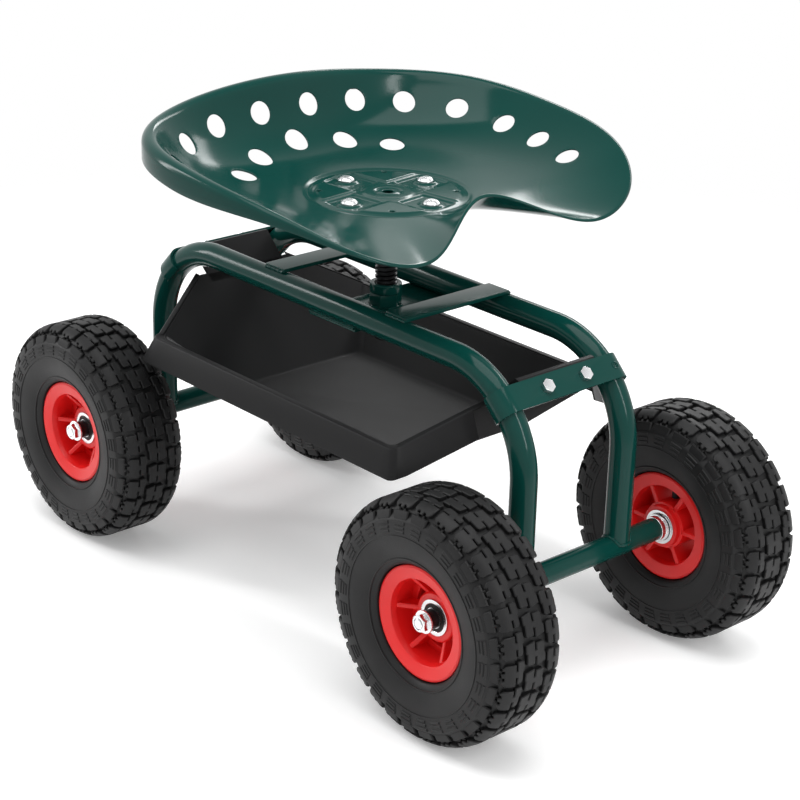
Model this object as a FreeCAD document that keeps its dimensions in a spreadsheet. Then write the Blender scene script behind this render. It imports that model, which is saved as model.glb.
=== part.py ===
import FreeCAD, Part
import math
import os
import Sketcher
from FreeCAD import Placement, Rotation, Vector

# Rolling garden seat, millimetres. +X runs along the side rails to the front, +Y to the sitter's
# left, +Z up. The origin is on the floor below the middle of the wheelbase.

DIMENSIONS = [
    # wheels
    ("wheel_base", 605, "between the two axles"),
    ("track", 350, "between the mid planes of left and right wheels"),
    ("tyre_radius", 128, "outside radius of the tread"),
    ("tyre_width", 88, "widest place of the side walls"),
    ("tyre_wall", 8, "thickness of tread and side wall"),
    ("crown_width", 40, "level middle of the tread"),
    ("shoulder_round", 16, "rounding from tread to side wall"),
    ("tread_count", 28, "blocks round the tyre in each row"),
    ("tread_depth", 4.5, "height of the blocks"),
    ("tread_gap", 6.5, "between two blocks of a row"),
    ("middle_row", 25, "width of the middle row of blocks"),
    ("row_gap", 2.5, "between the middle row and the side rows"),
    ("rim_radius", 59.5, "outside of the rim lips"),
    ("rim_width", 66, "over both lips"),
    ("lip_width", 15, "face of the lip, radially"),
    ("lip_thick", 3.5, "lip, along the axle"),
    ("bead_seat_radius", 52, "where the tyre bead sits"),
    ("bead_width", 9.5, "tyre bead, along the axle"),
    ("well_radius", 47, "well between the bead seats"),
    ("well_width", 32, "floor of the well, along the axle"),
    ("barrel_wall", 4.5, "rim wall at the ribs"),
    ("rib_count", 6, "ribs between hub and rim"),
    ("rib_width", 5, "thickness of one rib"),
    ("rib_rim_reach", 24, "outer edge of a rib at the rim, from the wheel's mid plane"),
    ("rib_hub_reach", 10, "outer edge of a rib at the hub, from the wheel's mid plane"),
    ("rib_inner_reach", 28, "inner edge of a rib, from the wheel's mid plane"),
    ("hub_radius", 23, "outside of the hub"),
    ("hub_wall", 3, "ring of the hub left by the windows"),
    ("hub_outer_reach", 12, "hub face outward of the mid plane"),
    ("hub_inner_reach", 34.5, "hub face inward of the mid plane"),
    ("tube_wall", 2, "inner tube"),
    ("tube_gap", 0.6, "inner tube to tyre and rim"),
    ("valve_radius", 3.5, "valve stem"),
    ("valve_offset", 12, "valve inward of the wheel's mid plane"),
    ("valve_end", 28, "tip of the valve from the axle"),
    ("valve_cap_length", 9, "cap on the valve"),
    # bearings
    ("bearing_radius", 17.5, "outer ring"),
    ("bearing_length", 10, "outer ring in the hub"),
    ("bearing_flange", 20, "radius of the flange"),
    ("bearing_flange_thick", 1.5, "flange on the hub face"),
    ("race_outer", 15.4, "inside of the outer ring"),
    ("race_inner", 10.6, "outside of the inner ring"),
    ("shield_thick", 0.8, "shields of the bearing"),
    ("shield_gap", 0.35, "shield to inner ring"),
    ("inner_ring_lead", 0.5, "inner ring beyond the flange"),
    ("ball_count", 10, "balls in one bearing"),
    ("running_gap", 0.05, "radial play of ball in its races"),
    ("fit_gap", 0.05, "play between pieces that are pushed together"),
    # axles
    ("axle_radius", 12.5, "axle tube outside"),
    ("axle_wall", 2, "axle tube"),
    ("spindle_radius", 8, "shaft that carries the bearings"),
    ("spindle_root_length", 40, "spindle inside the axle tube"),
    ("hub_spacer_wall", 2, "tube between the inner rings"),
    ("sleeve_radius", 10, "spacer sleeve outside the wheel"),
    ("sleeve_length", 11, "spacer sleeve"),
    ("axle_washer_radius", 12, "washer at the wheel's outer end"),
    ("axle_washer_thick", 2, "washer at the wheel's outer end"),
    ("axle_bolt_radius", 5, "bolt in the spindle's end"),
    ("axle_bolt_length", 25, "shank of that bolt"),
    ("axle_bolt_flats", 17, "across the flats of its head"),
    ("axle_bolt_head", 6.5, "height of its head"),
    # frame
    ("rail_radius", 14, "side rail tube outside"),
    ("rail_wall", 2, "side rail tube"),
    ("rail_spread", 144, "between the two rails"),
    ("rail_height", 343, "middle of the level run"),
    ("bend_radius", 105, "middle line of the bends"),
    ("strap_width", 28, "end strap along the rail"),
    ("strap_thick", 3, "end strap"),
    ("strap_wrap", 125, "degrees the strap goes round a rail"),
    ("strap_gap", 0.1, "strap to rail"),
    ("bar_width", 32, "cross bar"),
    ("bar_thick", 4, "cross bar"),
    ("bar_overhang", 2, "cross bar beyond the middle of a rail"),
    ("bar_reach", 100, "cross bar from the seat post"),
    ("post_shift", 10, "seat post ahead of the wheelbase's middle"),
    ("plate_width", 76, "seat plate along the rails"),
    ("plate_thick", 5, "seat plate"),
    ("plate_overhang", 4, "seat plate beyond the middle of a rail"),
    # seat screw
    ("screw_radius", 12, "crest of the thread"),
    ("thread_pitch", 5, "rise of the seat in one turn"),
    ("thread_depth", 2.2, "crest to root"),
    ("screw_drop", 39, "screw below the top of the seat plate"),
    ("screw_gap", 0.4, "screw to nut, collar and plate"),
    ("nut_flats", 31, "across the flats of the nut on the plate"),
    ("nut_height", 15, "nut on the plate"),
    ("collar_radius", 17.5, "collar on the nut"),
    ("collar_height", 10.5, "collar on the nut"),
    ("collar_lift", 0.4, "collar above the nut"),
    # tray
    ("tray_floor_height", 205, "underside of the tray"),
    ("tray_floor_length", 280, "tray floor along X"),
    ("tray_floor_width", 190, "tray floor along Y"),
    ("tray_wall", 2.5, "tray plastic"),
    ("tray_side_height", 264, "rim of the long sides"),
    ("tray_shoulder_height", 309, "end rims where they meet the rails"),
    ("tray_shoulder_spread", 66, "from the middle to that place"),
    ("tray_fold", 3.5, "folded top edge beyond the wall"),
    ("tray_skirt", 29, "height of the turned-down skirt"),
    ("tray_flare", 11, "foot of the skirt beyond its top"),
    ("tab_half_width", 54, "tray tab between the rails"),
    ("tab_drop", 13, "tab below the bolts"),
    ("tab_gap", 0.1, "tab to strap"),
    ("tray_bolt_spread", 54, "between the two bolts of a strap"),
    ("tray_bolt_radius", 4, "bolt"),
    ("tray_bolt_flats", 13, "across the flats"),
    ("tray_bolt_head", 5.3, "height of the head"),
    ("tray_bolt_length", 22, "under the head"),
    ("tray_nut_height", 6.5, "nut"),
    ("tray_washer_radius", 8.5, "washer"),
    ("tray_washer_thick", 1.6, "washer"),
    # seat
    ("seat_height", 455, "top of the pan at its middle"),
    ("pan_thick", 2, "pressed sheet"),
    ("emboss_radius", 84, "raised round field in the middle"),
    ("emboss_rise", 0.8, "field above the pan"),
    ("pommel_reach", 149, "front edge, on the middle line"),
    ("pommel_rise", 33, "front edge, on the middle line"),
    ("lobe_reach", 192, "tip of a thigh lobe"),
    ("lobe_spread", 112, "tip of a thigh lobe"),
    ("lobe_drop", 3, "tip of a thigh lobe"),
    ("corner_reach", 175, "outer corner of a thigh lobe"),
    ("corner_spread", 189, "outer corner of a thigh lobe"),
    ("corner_rise", 14, "outer corner of a thigh lobe"),
    ("hip_reach", 129, "side edge, ahead of the middle"),
    ("hip_spread", 228, "side edge, ahead of the middle"),
    ("hip_rise", 38, "side edge, ahead of the middle"),
    ("seat_half_width", 255, "side edge, widest place"),
    ("side_rise", 61, "side edge, widest place"),
    ("quarter_reach", 129, "rear quarter"),
    ("quarter_spread", 227, "rear quarter"),
    ("quarter_rise", 73.5, "rear quarter"),
    ("back_reach", 202, "back edge, on the middle line"),
    ("back_rise", 90, "back edge, on the middle line"),
    ("shoulder_reach", 189, "back edge, toward the quarter"),
    ("shoulder_spread", 140.5, "back edge, toward the quarter"),
    ("shoulder_rise", 81, "back edge, toward the quarter"),
    ("lip_roll", 9, "radius of the rolled edge at back and sides"),
    ("front_roll", 2.5, "radius of the rolled edge at the front"),
    ("flange_back", 17, "turned-down edge at back and sides, below the roll"),
    ("flange_front", 0.8, "turned-down edge at the front, below the roll"),
    ("upper_hole_radius", 13, "holes along the rim"),
    ("upper_hole_inset", 28, "from the edge along the wall, at the back"),
    ("front_hole_inset", 48, "from the edge along the wall, foremost hole"),
    ("lower_hole_radius", 14, "holes at the back of the bowl"),
    ("lower_hole_ring", 155, "from the post"),
    ("bracket_radius", 76, "flange under the pan"),
    ("bracket_thick", 3, "flange under the pan"),
    ("socket_radius", 17, "socket for the screw"),
    ("socket_depth", 22, "socket for the screw"),
    ("seat_bolt_ring", 61, "bolts from the post"),
    ("field_turn", 7, "degrees the field and its bolts are turned from the middle line"),
    ("seat_bolt_radius", 4, "bolt"),
    ("seat_bolt_head_radius", 9.5, "round head"),
    ("seat_bolt_head", 4.5, "round head"),
    ("seat_bolt_length", 20, "under the head"),
    ("bolt_hole_gap", 0.4, "bolt to its hole"),
]

HALF_ROOT = math.sqrt(0.5)
UPPER_HOLE_TURNS = (169, 150, 134, 118, 101, 85, 69)
LOWER_HOLE_TURNS = (180, 157, 137)

doc = FreeCAD.newDocument("rolling_garden_seat")
sheet = doc.addObject("Spreadsheet::Sheet", "sizes")


class Size:
    """A number together with the sheet expression that gives it."""

    def __init__(self, number, text):
        self.number = number
        self.text = text

    def __float__(self):
        return float(self.number)

    def __add__(self, other):
        other = as_size(other)
        return Size(self.number + other.number, f"({self.text} + {other.text})")

    def __sub__(self, other):
        other = as_size(other)
        return Size(self.number - other.number, f"({self.text} - {other.text})")

    def __mul__(self, other):
        other = as_size(other)
        return Size(self.number * other.number, f"({self.text} * {other.text})")

    def __truediv__(self, other):
        other = as_size(other)
        return Size(self.number / other.number, f"({self.text} / {other.text})")

    def __radd__(self, other):
        return as_size(other) + self

    def __rsub__(self, other):
        return as_size(other) - self

    def __rmul__(self, other):
        return as_size(other) * self

    def __neg__(self):
        return Size(-self.number, f"(0 - {self.text})")


def as_size(value):
    if isinstance(value, Size):
        return value
    return Size(float(value), f"{float(value):.9f}")


class Sizes:
    pass


S = Sizes()
for row, (alias, value, note) in enumerate(DIMENSIONS, 1):
    sheet.set(f"A{row}", alias)
    sheet.set(f"B{row}", str(value))
    sheet.set(f"C{row}", note)
    sheet.setAlias(f"B{row}", alias)
doc.recompute()
for alias, value, note in DIMENSIONS:
    setattr(S, alias, Size(float(sheet.get(alias)), f"sizes.{alias}"))

nodes = []


def keep(obj, label):
    """Register a finished sub-part under the name of its file."""
    obj.Label = label
    nodes.append(obj)
    return obj


def bind(obj, **values):
    for prop, value in values.items():
        obj.setExpression(prop, as_size(value).text)
    return obj


def place(obj, x=0, y=0, z=0, rotation=None):
    obj.Placement = Placement(Vector(float(x), float(y), float(z)), rotation or Rotation())
    for axis, value in zip("xyz", (x, y, z)):
        obj.setExpression(f"Placement.Base.{axis}", as_size(value).text)
    return obj


ALONG_X = Rotation(Vector(0, 1, 0), 90)
ALONG_Y = Rotation(Vector(1, 0, 0), -90)
ALONG_Z = Rotation()
HALF_TURN = Rotation(Vector(0, 0, 1), 180)


def cylinder(name, radius, length, x, y, z, rotation=ALONG_Z):
    obj = doc.addObject("Part::Cylinder", name)
    bind(obj, Radius=radius, Height=length)
    return place(obj, x, y, z, rotation)


def box(name, length, width, height, x, y, z):
    """Box with its middle at x, y and its underside at z."""
    obj = doc.addObject("Part::Box", name)
    bind(obj, Length=length, Width=width, Height=height)
    return place(obj, x - as_size(length) / 2, y - as_size(width) / 2, z)


def hexagon(name, flats, height, x, y, z, rotation=ALONG_Z):
    obj = doc.addObject("Part::Prism", name)
    obj.Polygon = 6
    bind(obj, Circumradius=flats / math.sqrt(3), Height=height)
    return place(obj, x, y, z, rotation)


def cut(name, base, *tools):
    for tool in tools:
        step = doc.addObject("Part::Cut", name)
        step.Base = base
        step.Tool = tool
        base = step
    return base


def fuse(name, *shapes):
    obj = doc.addObject("Part::MultiFuse", name)
    obj.Shapes = list(shapes)
    obj.Refine = True
    return obj


def group(name, shapes):
    obj = doc.addObject("Part::Compound", name)
    obj.Links = list(shapes)
    return obj


def ring(name, outer, inner, length, x, y, z, rotation=ALONG_Z):
    return cut(
        name,
        cylinder(f"{name}_outside", outer, length, x, y, z, rotation),
        cylinder(f"{name}_bore", inner, length, x, y, z, rotation),
    )


def origin_feature(body, role):
    return [item for item in body.Origin.OriginFeatures if item.Role == role][0]


def body_sketch(body, name, role):
    sketch = body.newObject("Sketcher::SketchObject", name)
    sketch.AttachmentSupport = (origin_feature(body, role), [""])
    sketch.MapMode = "FlatFace"
    return sketch


def pin(sketch, curve, end, u, v):
    """Hold one end of a sketch curve at u, v from the sketch's origin."""
    for kind, axis, value in (("DistanceX", -2, as_size(u)), ("DistanceY", -1, as_size(v))):
        if abs(value.number) < 1e-9:
            sketch.addConstraint(Sketcher.Constraint("PointOnObject", curve, end, axis))
        elif value.number > 0:
            index = sketch.addConstraint(Sketcher.Constraint(kind, -1, 1, curve, end, value.number))
            sketch.setExpression(f"Constraints[{index}]", value.text)
        else:
            index = sketch.addConstraint(Sketcher.Constraint(kind, curve, end, -1, 1, -value.number))
            sketch.setExpression(f"Constraints[{index}]", (-value).text)


def polygon(sketch, points, arcs=()):
    """Closed outline, every corner bound to the sheet. arcs gives the side after a corner a bulge:
    the corner's number and a place that the side passes through."""
    first = sketch.GeometryCount
    count = len(points)
    corners = [Vector(float(u), float(v), 0) for u, v in points]
    bulges = {number: Vector(float(u), float(v), 0) for number, (u, v) in arcs}
    ends = []
    for index in range(count):
        start, stop = corners[index], corners[(index + 1) % count]
        if index not in bulges:
            sketch.addGeometry(Part.LineSegment(start, stop), False)
            ends.append((1, 2))
            continue
        left_turn = (bulges[index] - start).cross(stop - bulges[index]).z > 0
        if left_turn:
            sketch.addGeometry(Part.Arc(start, bulges[index], stop), False)
            ends.append((1, 2))
        else:
            sketch.addGeometry(Part.Arc(stop, bulges[index], start), False)
            ends.append((2, 1))
    for index in range(count):
        after = (index + 1) % count
        sketch.addConstraint(
            Sketcher.Constraint("Coincident", first + index, ends[index][1], first + after, ends[after][0])
        )
    for index, (u, v) in enumerate(points):
        pin(sketch, first + index, ends[index][0], u, v)
    for number, (u, v) in arcs:
        guide = sketch.addGeometry(Part.Point(bulges[number]), True)
        pin(sketch, guide, 1, u, v)
        sketch.addConstraint(Sketcher.Constraint("PointOnObject", guide, 1, first + number))


def turned(name, *outlines, arcs=()):
    """Body turned about its own Y axis from outlines given as (along Y, radius)."""
    body = doc.addObject("PartDesign::Body", name)
    sketch = body_sketch(body, f"{name}_outline", "YZ_Plane")
    for outline in outlines:
        polygon(sketch, outline, arcs)
    solid = body.newObject("PartDesign::Revolution", f"{name}_turned")
    solid.Profile = sketch
    solid.ReferenceAxis = (sketch, ["H_Axis"])
    solid.Angle = 360
    return body


def prism(name, points, rotation, x, y, z, direction, length):
    """Straight-sided outline pushed along a direction."""
    sketch = doc.addObject("Sketcher::SketchObject", f"{name}_outline")
    polygon(sketch, points)
    place(sketch, x, y, z, rotation)
    obj = doc.addObject("Part::Extrusion", name)
    obj.Base = sketch
    obj.DirMode = "Custom"
    obj.Dir = Vector(*(float(part) for part in direction))
    for axis, part in zip("xyz", direction):
        obj.setExpression(f"Dir.{axis}", as_size(part).text)
    bind(obj, LengthFwd=length)
    obj.Solid = True
    return obj


def mirrored(half):
    """Outline points for y > 0 continued with their mirror images."""
    return list(half) + [(-y, r) for y, r in reversed(half)]


# Wheel stations along the axle, measured from the wheel's mid plane, outward negative.
half_base = S.wheel_base / 2
half_track = S.track / 2
axle_height = S.tyre_radius
half_rim = S.rim_width / 2
hub_out = -S.hub_outer_reach
hub_in = S.hub_inner_reach
bearing_out_face = hub_out - S.bearing_flange_thick
bearing_in_face = hub_in + S.bearing_flange_thick
ring_out_face = bearing_out_face - S.inner_ring_lead
ring_in_face = bearing_in_face + S.inner_ring_lead
ring_length = S.bearing_length + S.bearing_flange_thick + S.inner_ring_lead
axle_half_length = half_track - ring_in_face
bead_out = half_rim - S.lip_thick - S.fit_gap
bead_in = bead_out - S.bead_width
bead_foot = S.bead_seat_radius + S.fit_gap
half_tyre = S.tyre_width / 2
half_crown = S.crown_width / 2
side_radius = (S.rim_radius + S.tyre_radius) / 2
ball_ring = (S.race_outer + S.race_inner) / 2
ball_radius = (S.race_outer - S.race_inner) / 2 - S.running_gap

CORNERS = (
    ("front_right", 1, -1),
    ("front_left", 1, 1),
    ("rear_right", -1, -1),
    ("rear_left", -1, 1),
)


def at_wheel(obj, along, side):
    return place(
        obj, half_base * along, half_track * side, axle_height, HALF_TURN if side > 0 else Rotation()
    )


def make_tyre(name):
    shoulder = S.tyre_radius - S.shoulder_round
    row_start = S.middle_row / 2
    row_end = row_start + S.row_gap
    groove_floor = S.tyre_radius - S.tread_depth
    outside = [
        (bead_out, bead_foot),
        (bead_out, S.rim_radius + 1.5),
        (half_rim + 3, S.rim_radius + 4),
        (half_tyre - 2, shoulder),
        (half_crown, S.tyre_radius),
        (row_end, S.tyre_radius),
        (row_end, groove_floor),
        (row_start, groove_floor),
        (row_start, S.tyre_radius),
    ]
    side_bulge = (half_tyre, side_radius)
    shoulder_bulge = (half_tyre - S.shoulder_round / 2, S.tyre_radius - S.shoulder_round / 3)
    inside = [
        (half_crown - 2, S.tyre_radius - S.tyre_wall),
        (half_tyre - 2 - S.tyre_wall, shoulder - 4),
        (half_tyre - S.tyre_wall, side_radius),
        (bead_in, S.rim_radius + 3),
        (bead_in, bead_foot),
    ]
    left = 2
    right = 2 * len(outside) - 2 - left
    arcs = [
        (left, side_bulge),
        (left + 1, shoulder_bulge),
        (right - 1, (-shoulder_bulge[0], shoulder_bulge[1])),
        (right, (-side_bulge[0], side_bulge[1])),
    ]
    body = turned(name, mirrored(outside) + [(-y, r) for y, r in inside[::-1]] + inside, arcs=arcs)
    beyond = S.tyre_radius + 2
    row_middle = (row_start + row_end) / 2
    middle_slot = [
        (-row_middle, beyond),
        (-row_middle, groove_floor),
        (row_middle, groove_floor),
        (row_middle, beyond),
    ]
    side_slot = [
        (row_middle, beyond),
        (row_middle, groove_floor),
        (half_crown, groove_floor),
        (half_tyre - S.shoulder_round * 0.65, groove_floor - S.shoulder_round * 0.27),
        (half_tyre - 2 - S.tread_depth * 0.8, shoulder),
        (half_tyre + 2, shoulder - S.shoulder_round * 0.6),
        (half_tyre + 2, beyond),
    ]
    cut_slots(body, f"{name}_middle_slot", [middle_slot])
    cut_slots(body, f"{name}_side_slot", [side_slot, [(-y, r) for y, r in side_slot]], 0.5)
    return body


def cut_slots(body, name, outlines, shift=0.0):
    """Gaps between the tread blocks: outlines turned through a short way and repeated round the tyre."""
    doc.recompute()
    before = body.Tip.Shape.Volume
    pitch = 360 / float(S.tread_count)
    sketch = body_sketch(body, f"{name}_outline", "YZ_Plane")
    sketch.AttachmentOffset = Placement(Vector(), Rotation(Vector(1, 0, 0), pitch * shift))
    for outline in outlines:
        polygon(sketch, outline)
    slot = body.newObject("PartDesign::Groove", name)
    slot.Profile = sketch
    slot.ReferenceAxis = (sketch, ["H_Axis"])
    bind(slot, Angle=S.tread_gap / S.tyre_radius * math.degrees(1))
    pattern = body.newObject("PartDesign::PolarPattern", f"{name}s")
    pattern.Originals = [slot]
    pattern.Axis = (origin_feature(body, "Y_Axis"), [""])
    pattern.Angle = 360
    bind(pattern, Occurrences=S.tread_count)
    body.Tip = pattern
    doc.recompute()
    assert body.Tip.Shape.Volume < before - 1000


def make_inner_tube(name):
    gap = S.tube_gap
    shoulder = S.tyre_radius - S.shoulder_round
    half = [
        (S.well_width / 2 - 3, S.well_radius + gap),
        (bead_in - gap - 1, S.bead_seat_radius + 2),
        (bead_in - gap - 1, S.rim_radius + 4),
        (half_tyre - S.tyre_wall - gap, side_radius),
        (half_tyre - 2 - S.tyre_wall - gap, shoulder - 4),
        (half_crown - 2, S.tyre_radius - S.tyre_wall - gap),
    ]
    wall = S.tube_wall
    hollow = [
        (S.well_width / 2 - 4, S.well_radius + gap + wall),
        (bead_in - gap - 1 - wall, S.bead_seat_radius + 3),
        (bead_in - gap - 1 - wall, S.rim_radius + 5),
        (half_tyre - S.tyre_wall - gap - wall, side_radius),
        (half_tyre - 2 - S.tyre_wall - gap - wall, shoulder - 5),
        (half_crown - 4, S.tyre_radius - S.tyre_wall - gap - wall),
    ]
    return turned(name, mirrored(half), mirrored(hollow))


def make_rim(name):
    lip_inside = S.rim_radius - S.lip_width
    barrel = S.well_radius - S.barrel_wall
    bore = S.bearing_radius + S.fit_gap
    half_well = S.well_width / 2
    seat_edge = half_rim - S.lip_thick

    def dish_radius(reach):
        """Inside of the rim this far from the mid plane, on the cone from the well to the lip."""
        return barrel + (lip_inside - barrel) * ((reach - half_well) / (half_rim - half_well))

    outline = [
        (-half_rim, lip_inside),
        (-half_rim, S.rim_radius),
        (-seat_edge, S.rim_radius),
        (-seat_edge, S.bead_seat_radius),
        (-(bead_in - 0.5), S.bead_seat_radius),
        (-half_well, S.well_radius),
        (half_well, S.well_radius),
        (bead_in - 0.5, S.bead_seat_radius),
        (seat_edge, S.bead_seat_radius),
        (seat_edge, S.rim_radius),
        (half_rim, S.rim_radius),
        (half_rim, lip_inside),
        (S.rib_inner_reach, dish_radius(S.rib_inner_reach)),
        (S.rib_inner_reach, S.hub_radius),
        (hub_in, S.hub_radius),
        (hub_in, bore),
        (hub_in - S.bearing_length, bore),
        (hub_in - S.bearing_length, S.race_inner + 3),
        (hub_out + S.bearing_length, S.race_inner + 3),
        (hub_out + S.bearing_length, bore),
        (hub_out, bore),
        (hub_out, S.hub_radius),
        (-S.rib_hub_reach, S.hub_radius),
        (-S.rib_rim_reach, dish_radius(S.rib_rim_reach)),
    ]
    body = turned(name, outline)
    doc.recompute()
    solid_volume = body.Tip.Shape.Volume
    slope = math.tan(math.pi / float(S.rib_count))
    inner = S.hub_radius + S.hub_wall
    outer = barrel - 6
    sketch = body_sketch(body, f"{name}_window", "XZ_Plane")
    polygon(
        sketch,
        [
            (-(inner * slope - S.rib_width / 2), inner),
            (-(outer * slope - S.rib_width / 2), outer),
            (0, barrel - 1),
            (outer * slope - S.rib_width / 2, outer),
            (inner * slope - S.rib_width / 2, inner),
        ],
    )
    window = body.newObject("PartDesign::Pocket", f"{name}_window_cut")
    window.Profile = sketch
    window.Type = "ThroughAll"
    window.SideType = "Symmetric"
    pattern = body.newObject("PartDesign::PolarPattern", f"{name}_windows")
    pattern.Originals = [window]
    pattern.Axis = (origin_feature(body, "Y_Axis"), [""])
    pattern.Angle = 360
    bind(pattern, Occurrences=S.rib_count)
    body.Tip = pattern
    doc.recompute()
    assert body.Tip.Shape.Volume < solid_volume - 5000
    return body


def bearing_outline(face, toward):
    """Outer ring with flange and shields; face is the flange's outside."""
    lip = S.race_inner + S.shield_gap
    hub_face = face + S.bearing_flange_thick * toward
    back = hub_face + S.bearing_length * toward
    return [
        (face, lip),
        (face, S.bearing_flange),
        (hub_face, S.bearing_flange),
        (hub_face, S.bearing_radius),
        (back, S.bearing_radius),
        (back, lip),
        (back - S.shield_thick * toward, lip),
        (back - S.shield_thick * toward, S.race_outer),
        (face + S.shield_thick * toward, S.race_outer),
        (face + S.shield_thick * toward, lip),
    ]


def make_balls(name):
    balls = []
    half_ring = (S.bearing_length + S.bearing_flange_thick) / 2
    for middle in (bearing_out_face + half_ring, bearing_in_face - half_ring):
        for step in range(int(float(S.ball_count))):
            turn = 2 * math.pi * step / float(S.ball_count)
            ball = doc.addObject("Part::Sphere", f"{name}_one")
            bind(ball, Radius=ball_radius)
            balls.append(place(ball, ball_ring * math.cos(turn), middle, ball_ring * math.sin(turn)))
    return group(name, balls)


def make_valve(name):
    stem_length = S.well_radius - S.valve_end - S.valve_cap_length
    cap_top = S.valve_end + S.valve_cap_length
    stem = cylinder(f"{name}_stem", S.valve_radius, stem_length, 0, S.valve_offset, cap_top)
    cap = cylinder(
        f"{name}_cap", S.valve_radius + 0.8, S.valve_cap_length, 0, S.valve_offset, S.valve_end
    )
    return group(name, [stem, cap])


for corner, along, side in CORNERS:
    tyre = make_tyre(f"tyre_{corner}_body")
    keep(at_wheel(tyre, along, side), f"tyre_{corner}")
    tube = make_inner_tube(f"inner_tube_{corner}_body")
    keep(at_wheel(tube, along, side), f"inner_tube_{corner}")
    rim = make_rim(f"rim_{corner}_body")
    valve_hole = cylinder(
        f"valve_hole_{corner}", S.valve_radius + 0.3, S.well_radius, 0, S.valve_offset, S.hub_radius + 5
    )
    rim = cut(f"rim_{corner}_pierced", rim, valve_hole)
    keep(at_wheel(rim, along, side), f"rim_{corner}")
    rings = turned(
        f"bearing_rings_{corner}_body",
        bearing_outline(bearing_out_face, 1),
        bearing_outline(bearing_in_face, -1),
    )
    keep(at_wheel(rings, along, side), f"bearing_rings_{corner}")
    keep(at_wheel(make_balls(f"balls_{corner}"), along, side), f"bearing_balls_{corner}")
    keep(at_wheel(make_valve(f"valve_{corner}"), along, side), f"valve_stem_{corner}")

# Axles. Pieces that stay still inside the four hubs, in wheel stations, copied to each corner.


def four_corners(label, maker):
    pieces = []
    for corner, along, side in CORNERS:
        pieces.append(at_wheel(maker(f"{label}_{corner}"), along, side))
    keep(group(f"{label}_set", pieces), label)


def make_spindle(name):
    journal = S.spindle_radius
    root = S.axle_radius - S.axle_wall - S.fit_gap
    end = ring_out_face - S.sleeve_length + 0.3
    tapped = S.axle_bolt_radius + S.fit_gap
    tap_end = end + S.axle_bolt_length
    outline = [
        (end, tapped),
        (end, journal),
        (ring_in_face, journal),
        (ring_in_face, root),
        (ring_in_face + S.spindle_root_length, root),
        (ring_in_face + S.spindle_root_length, 0),
        (tap_end, 0),
        (tap_end, tapped),
    ]
    return turned(name, outline)


def make_inner_rings(name):
    bore = S.spindle_radius + S.fit_gap
    outer = ring(f"{name}_outer", S.race_inner, bore, ring_length, 0, ring_out_face, 0, ALONG_Y)
    inner = ring(f"{name}_inner", S.race_inner, bore, ring_length, 0, ring_in_face - ring_length, 0, ALONG_Y)
    return group(name, [outer, inner])


def make_hub_spacer(name):
    bore = S.spindle_radius + S.fit_gap
    start = ring_out_face + ring_length
    length = ring_in_face - ring_length - start
    return ring(name, bore + S.hub_spacer_wall, bore, length, 0, start, 0, ALONG_Y)


def make_sleeve(name):
    bore = S.spindle_radius + S.fit_gap
    return ring(name, S.sleeve_radius, bore, S.sleeve_length, 0, ring_out_face - S.sleeve_length, 0, ALONG_Y)


washer_face = ring_out_face - S.sleeve_length - S.axle_washer_thick


def make_axle_washer(name):
    bore = S.axle_bolt_radius + S.bolt_hole_gap
    return ring(name, S.axle_washer_radius, bore, S.axle_washer_thick, 0, washer_face, 0, ALONG_Y)


def make_axle_bolt(name):
    head = hexagon(
        f"{name}_head", S.axle_bolt_flats, S.axle_bolt_head, 0, washer_face - S.axle_bolt_head, 0, ALONG_Y
    )
    shank = cylinder(f"{name}_shank", S.axle_bolt_radius, S.axle_bolt_length, 0, washer_face, 0, ALONG_Y)
    return fuse(name, head, shank)


four_corners("axle_spindles", make_spindle)
four_corners("bearing_inner_rings", make_inner_rings)
four_corners("hub_spacers", make_hub_spacer)
four_corners("axle_sleeves", make_sleeve)
four_corners("axle_washers", make_axle_washer)
four_corners("axle_bolts", make_axle_bolt)

for end, along in (("front", 1), ("rear", -1)):
    axle = ring(
        f"axle_{end}",
        S.axle_radius,
        S.axle_radius - S.axle_wall,
        axle_half_length * 2,
        half_base * along,
        -axle_half_length,
        axle_height,
        ALONG_Y,
    )
    keep(axle, f"axle_tube_{end}")

# Side rails: one bent tube each, its legs cut to the round of the axle tubes.
half_rails = S.rail_spread / 2
leg_foot = axle_height + S.axle_radius / 2


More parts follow.
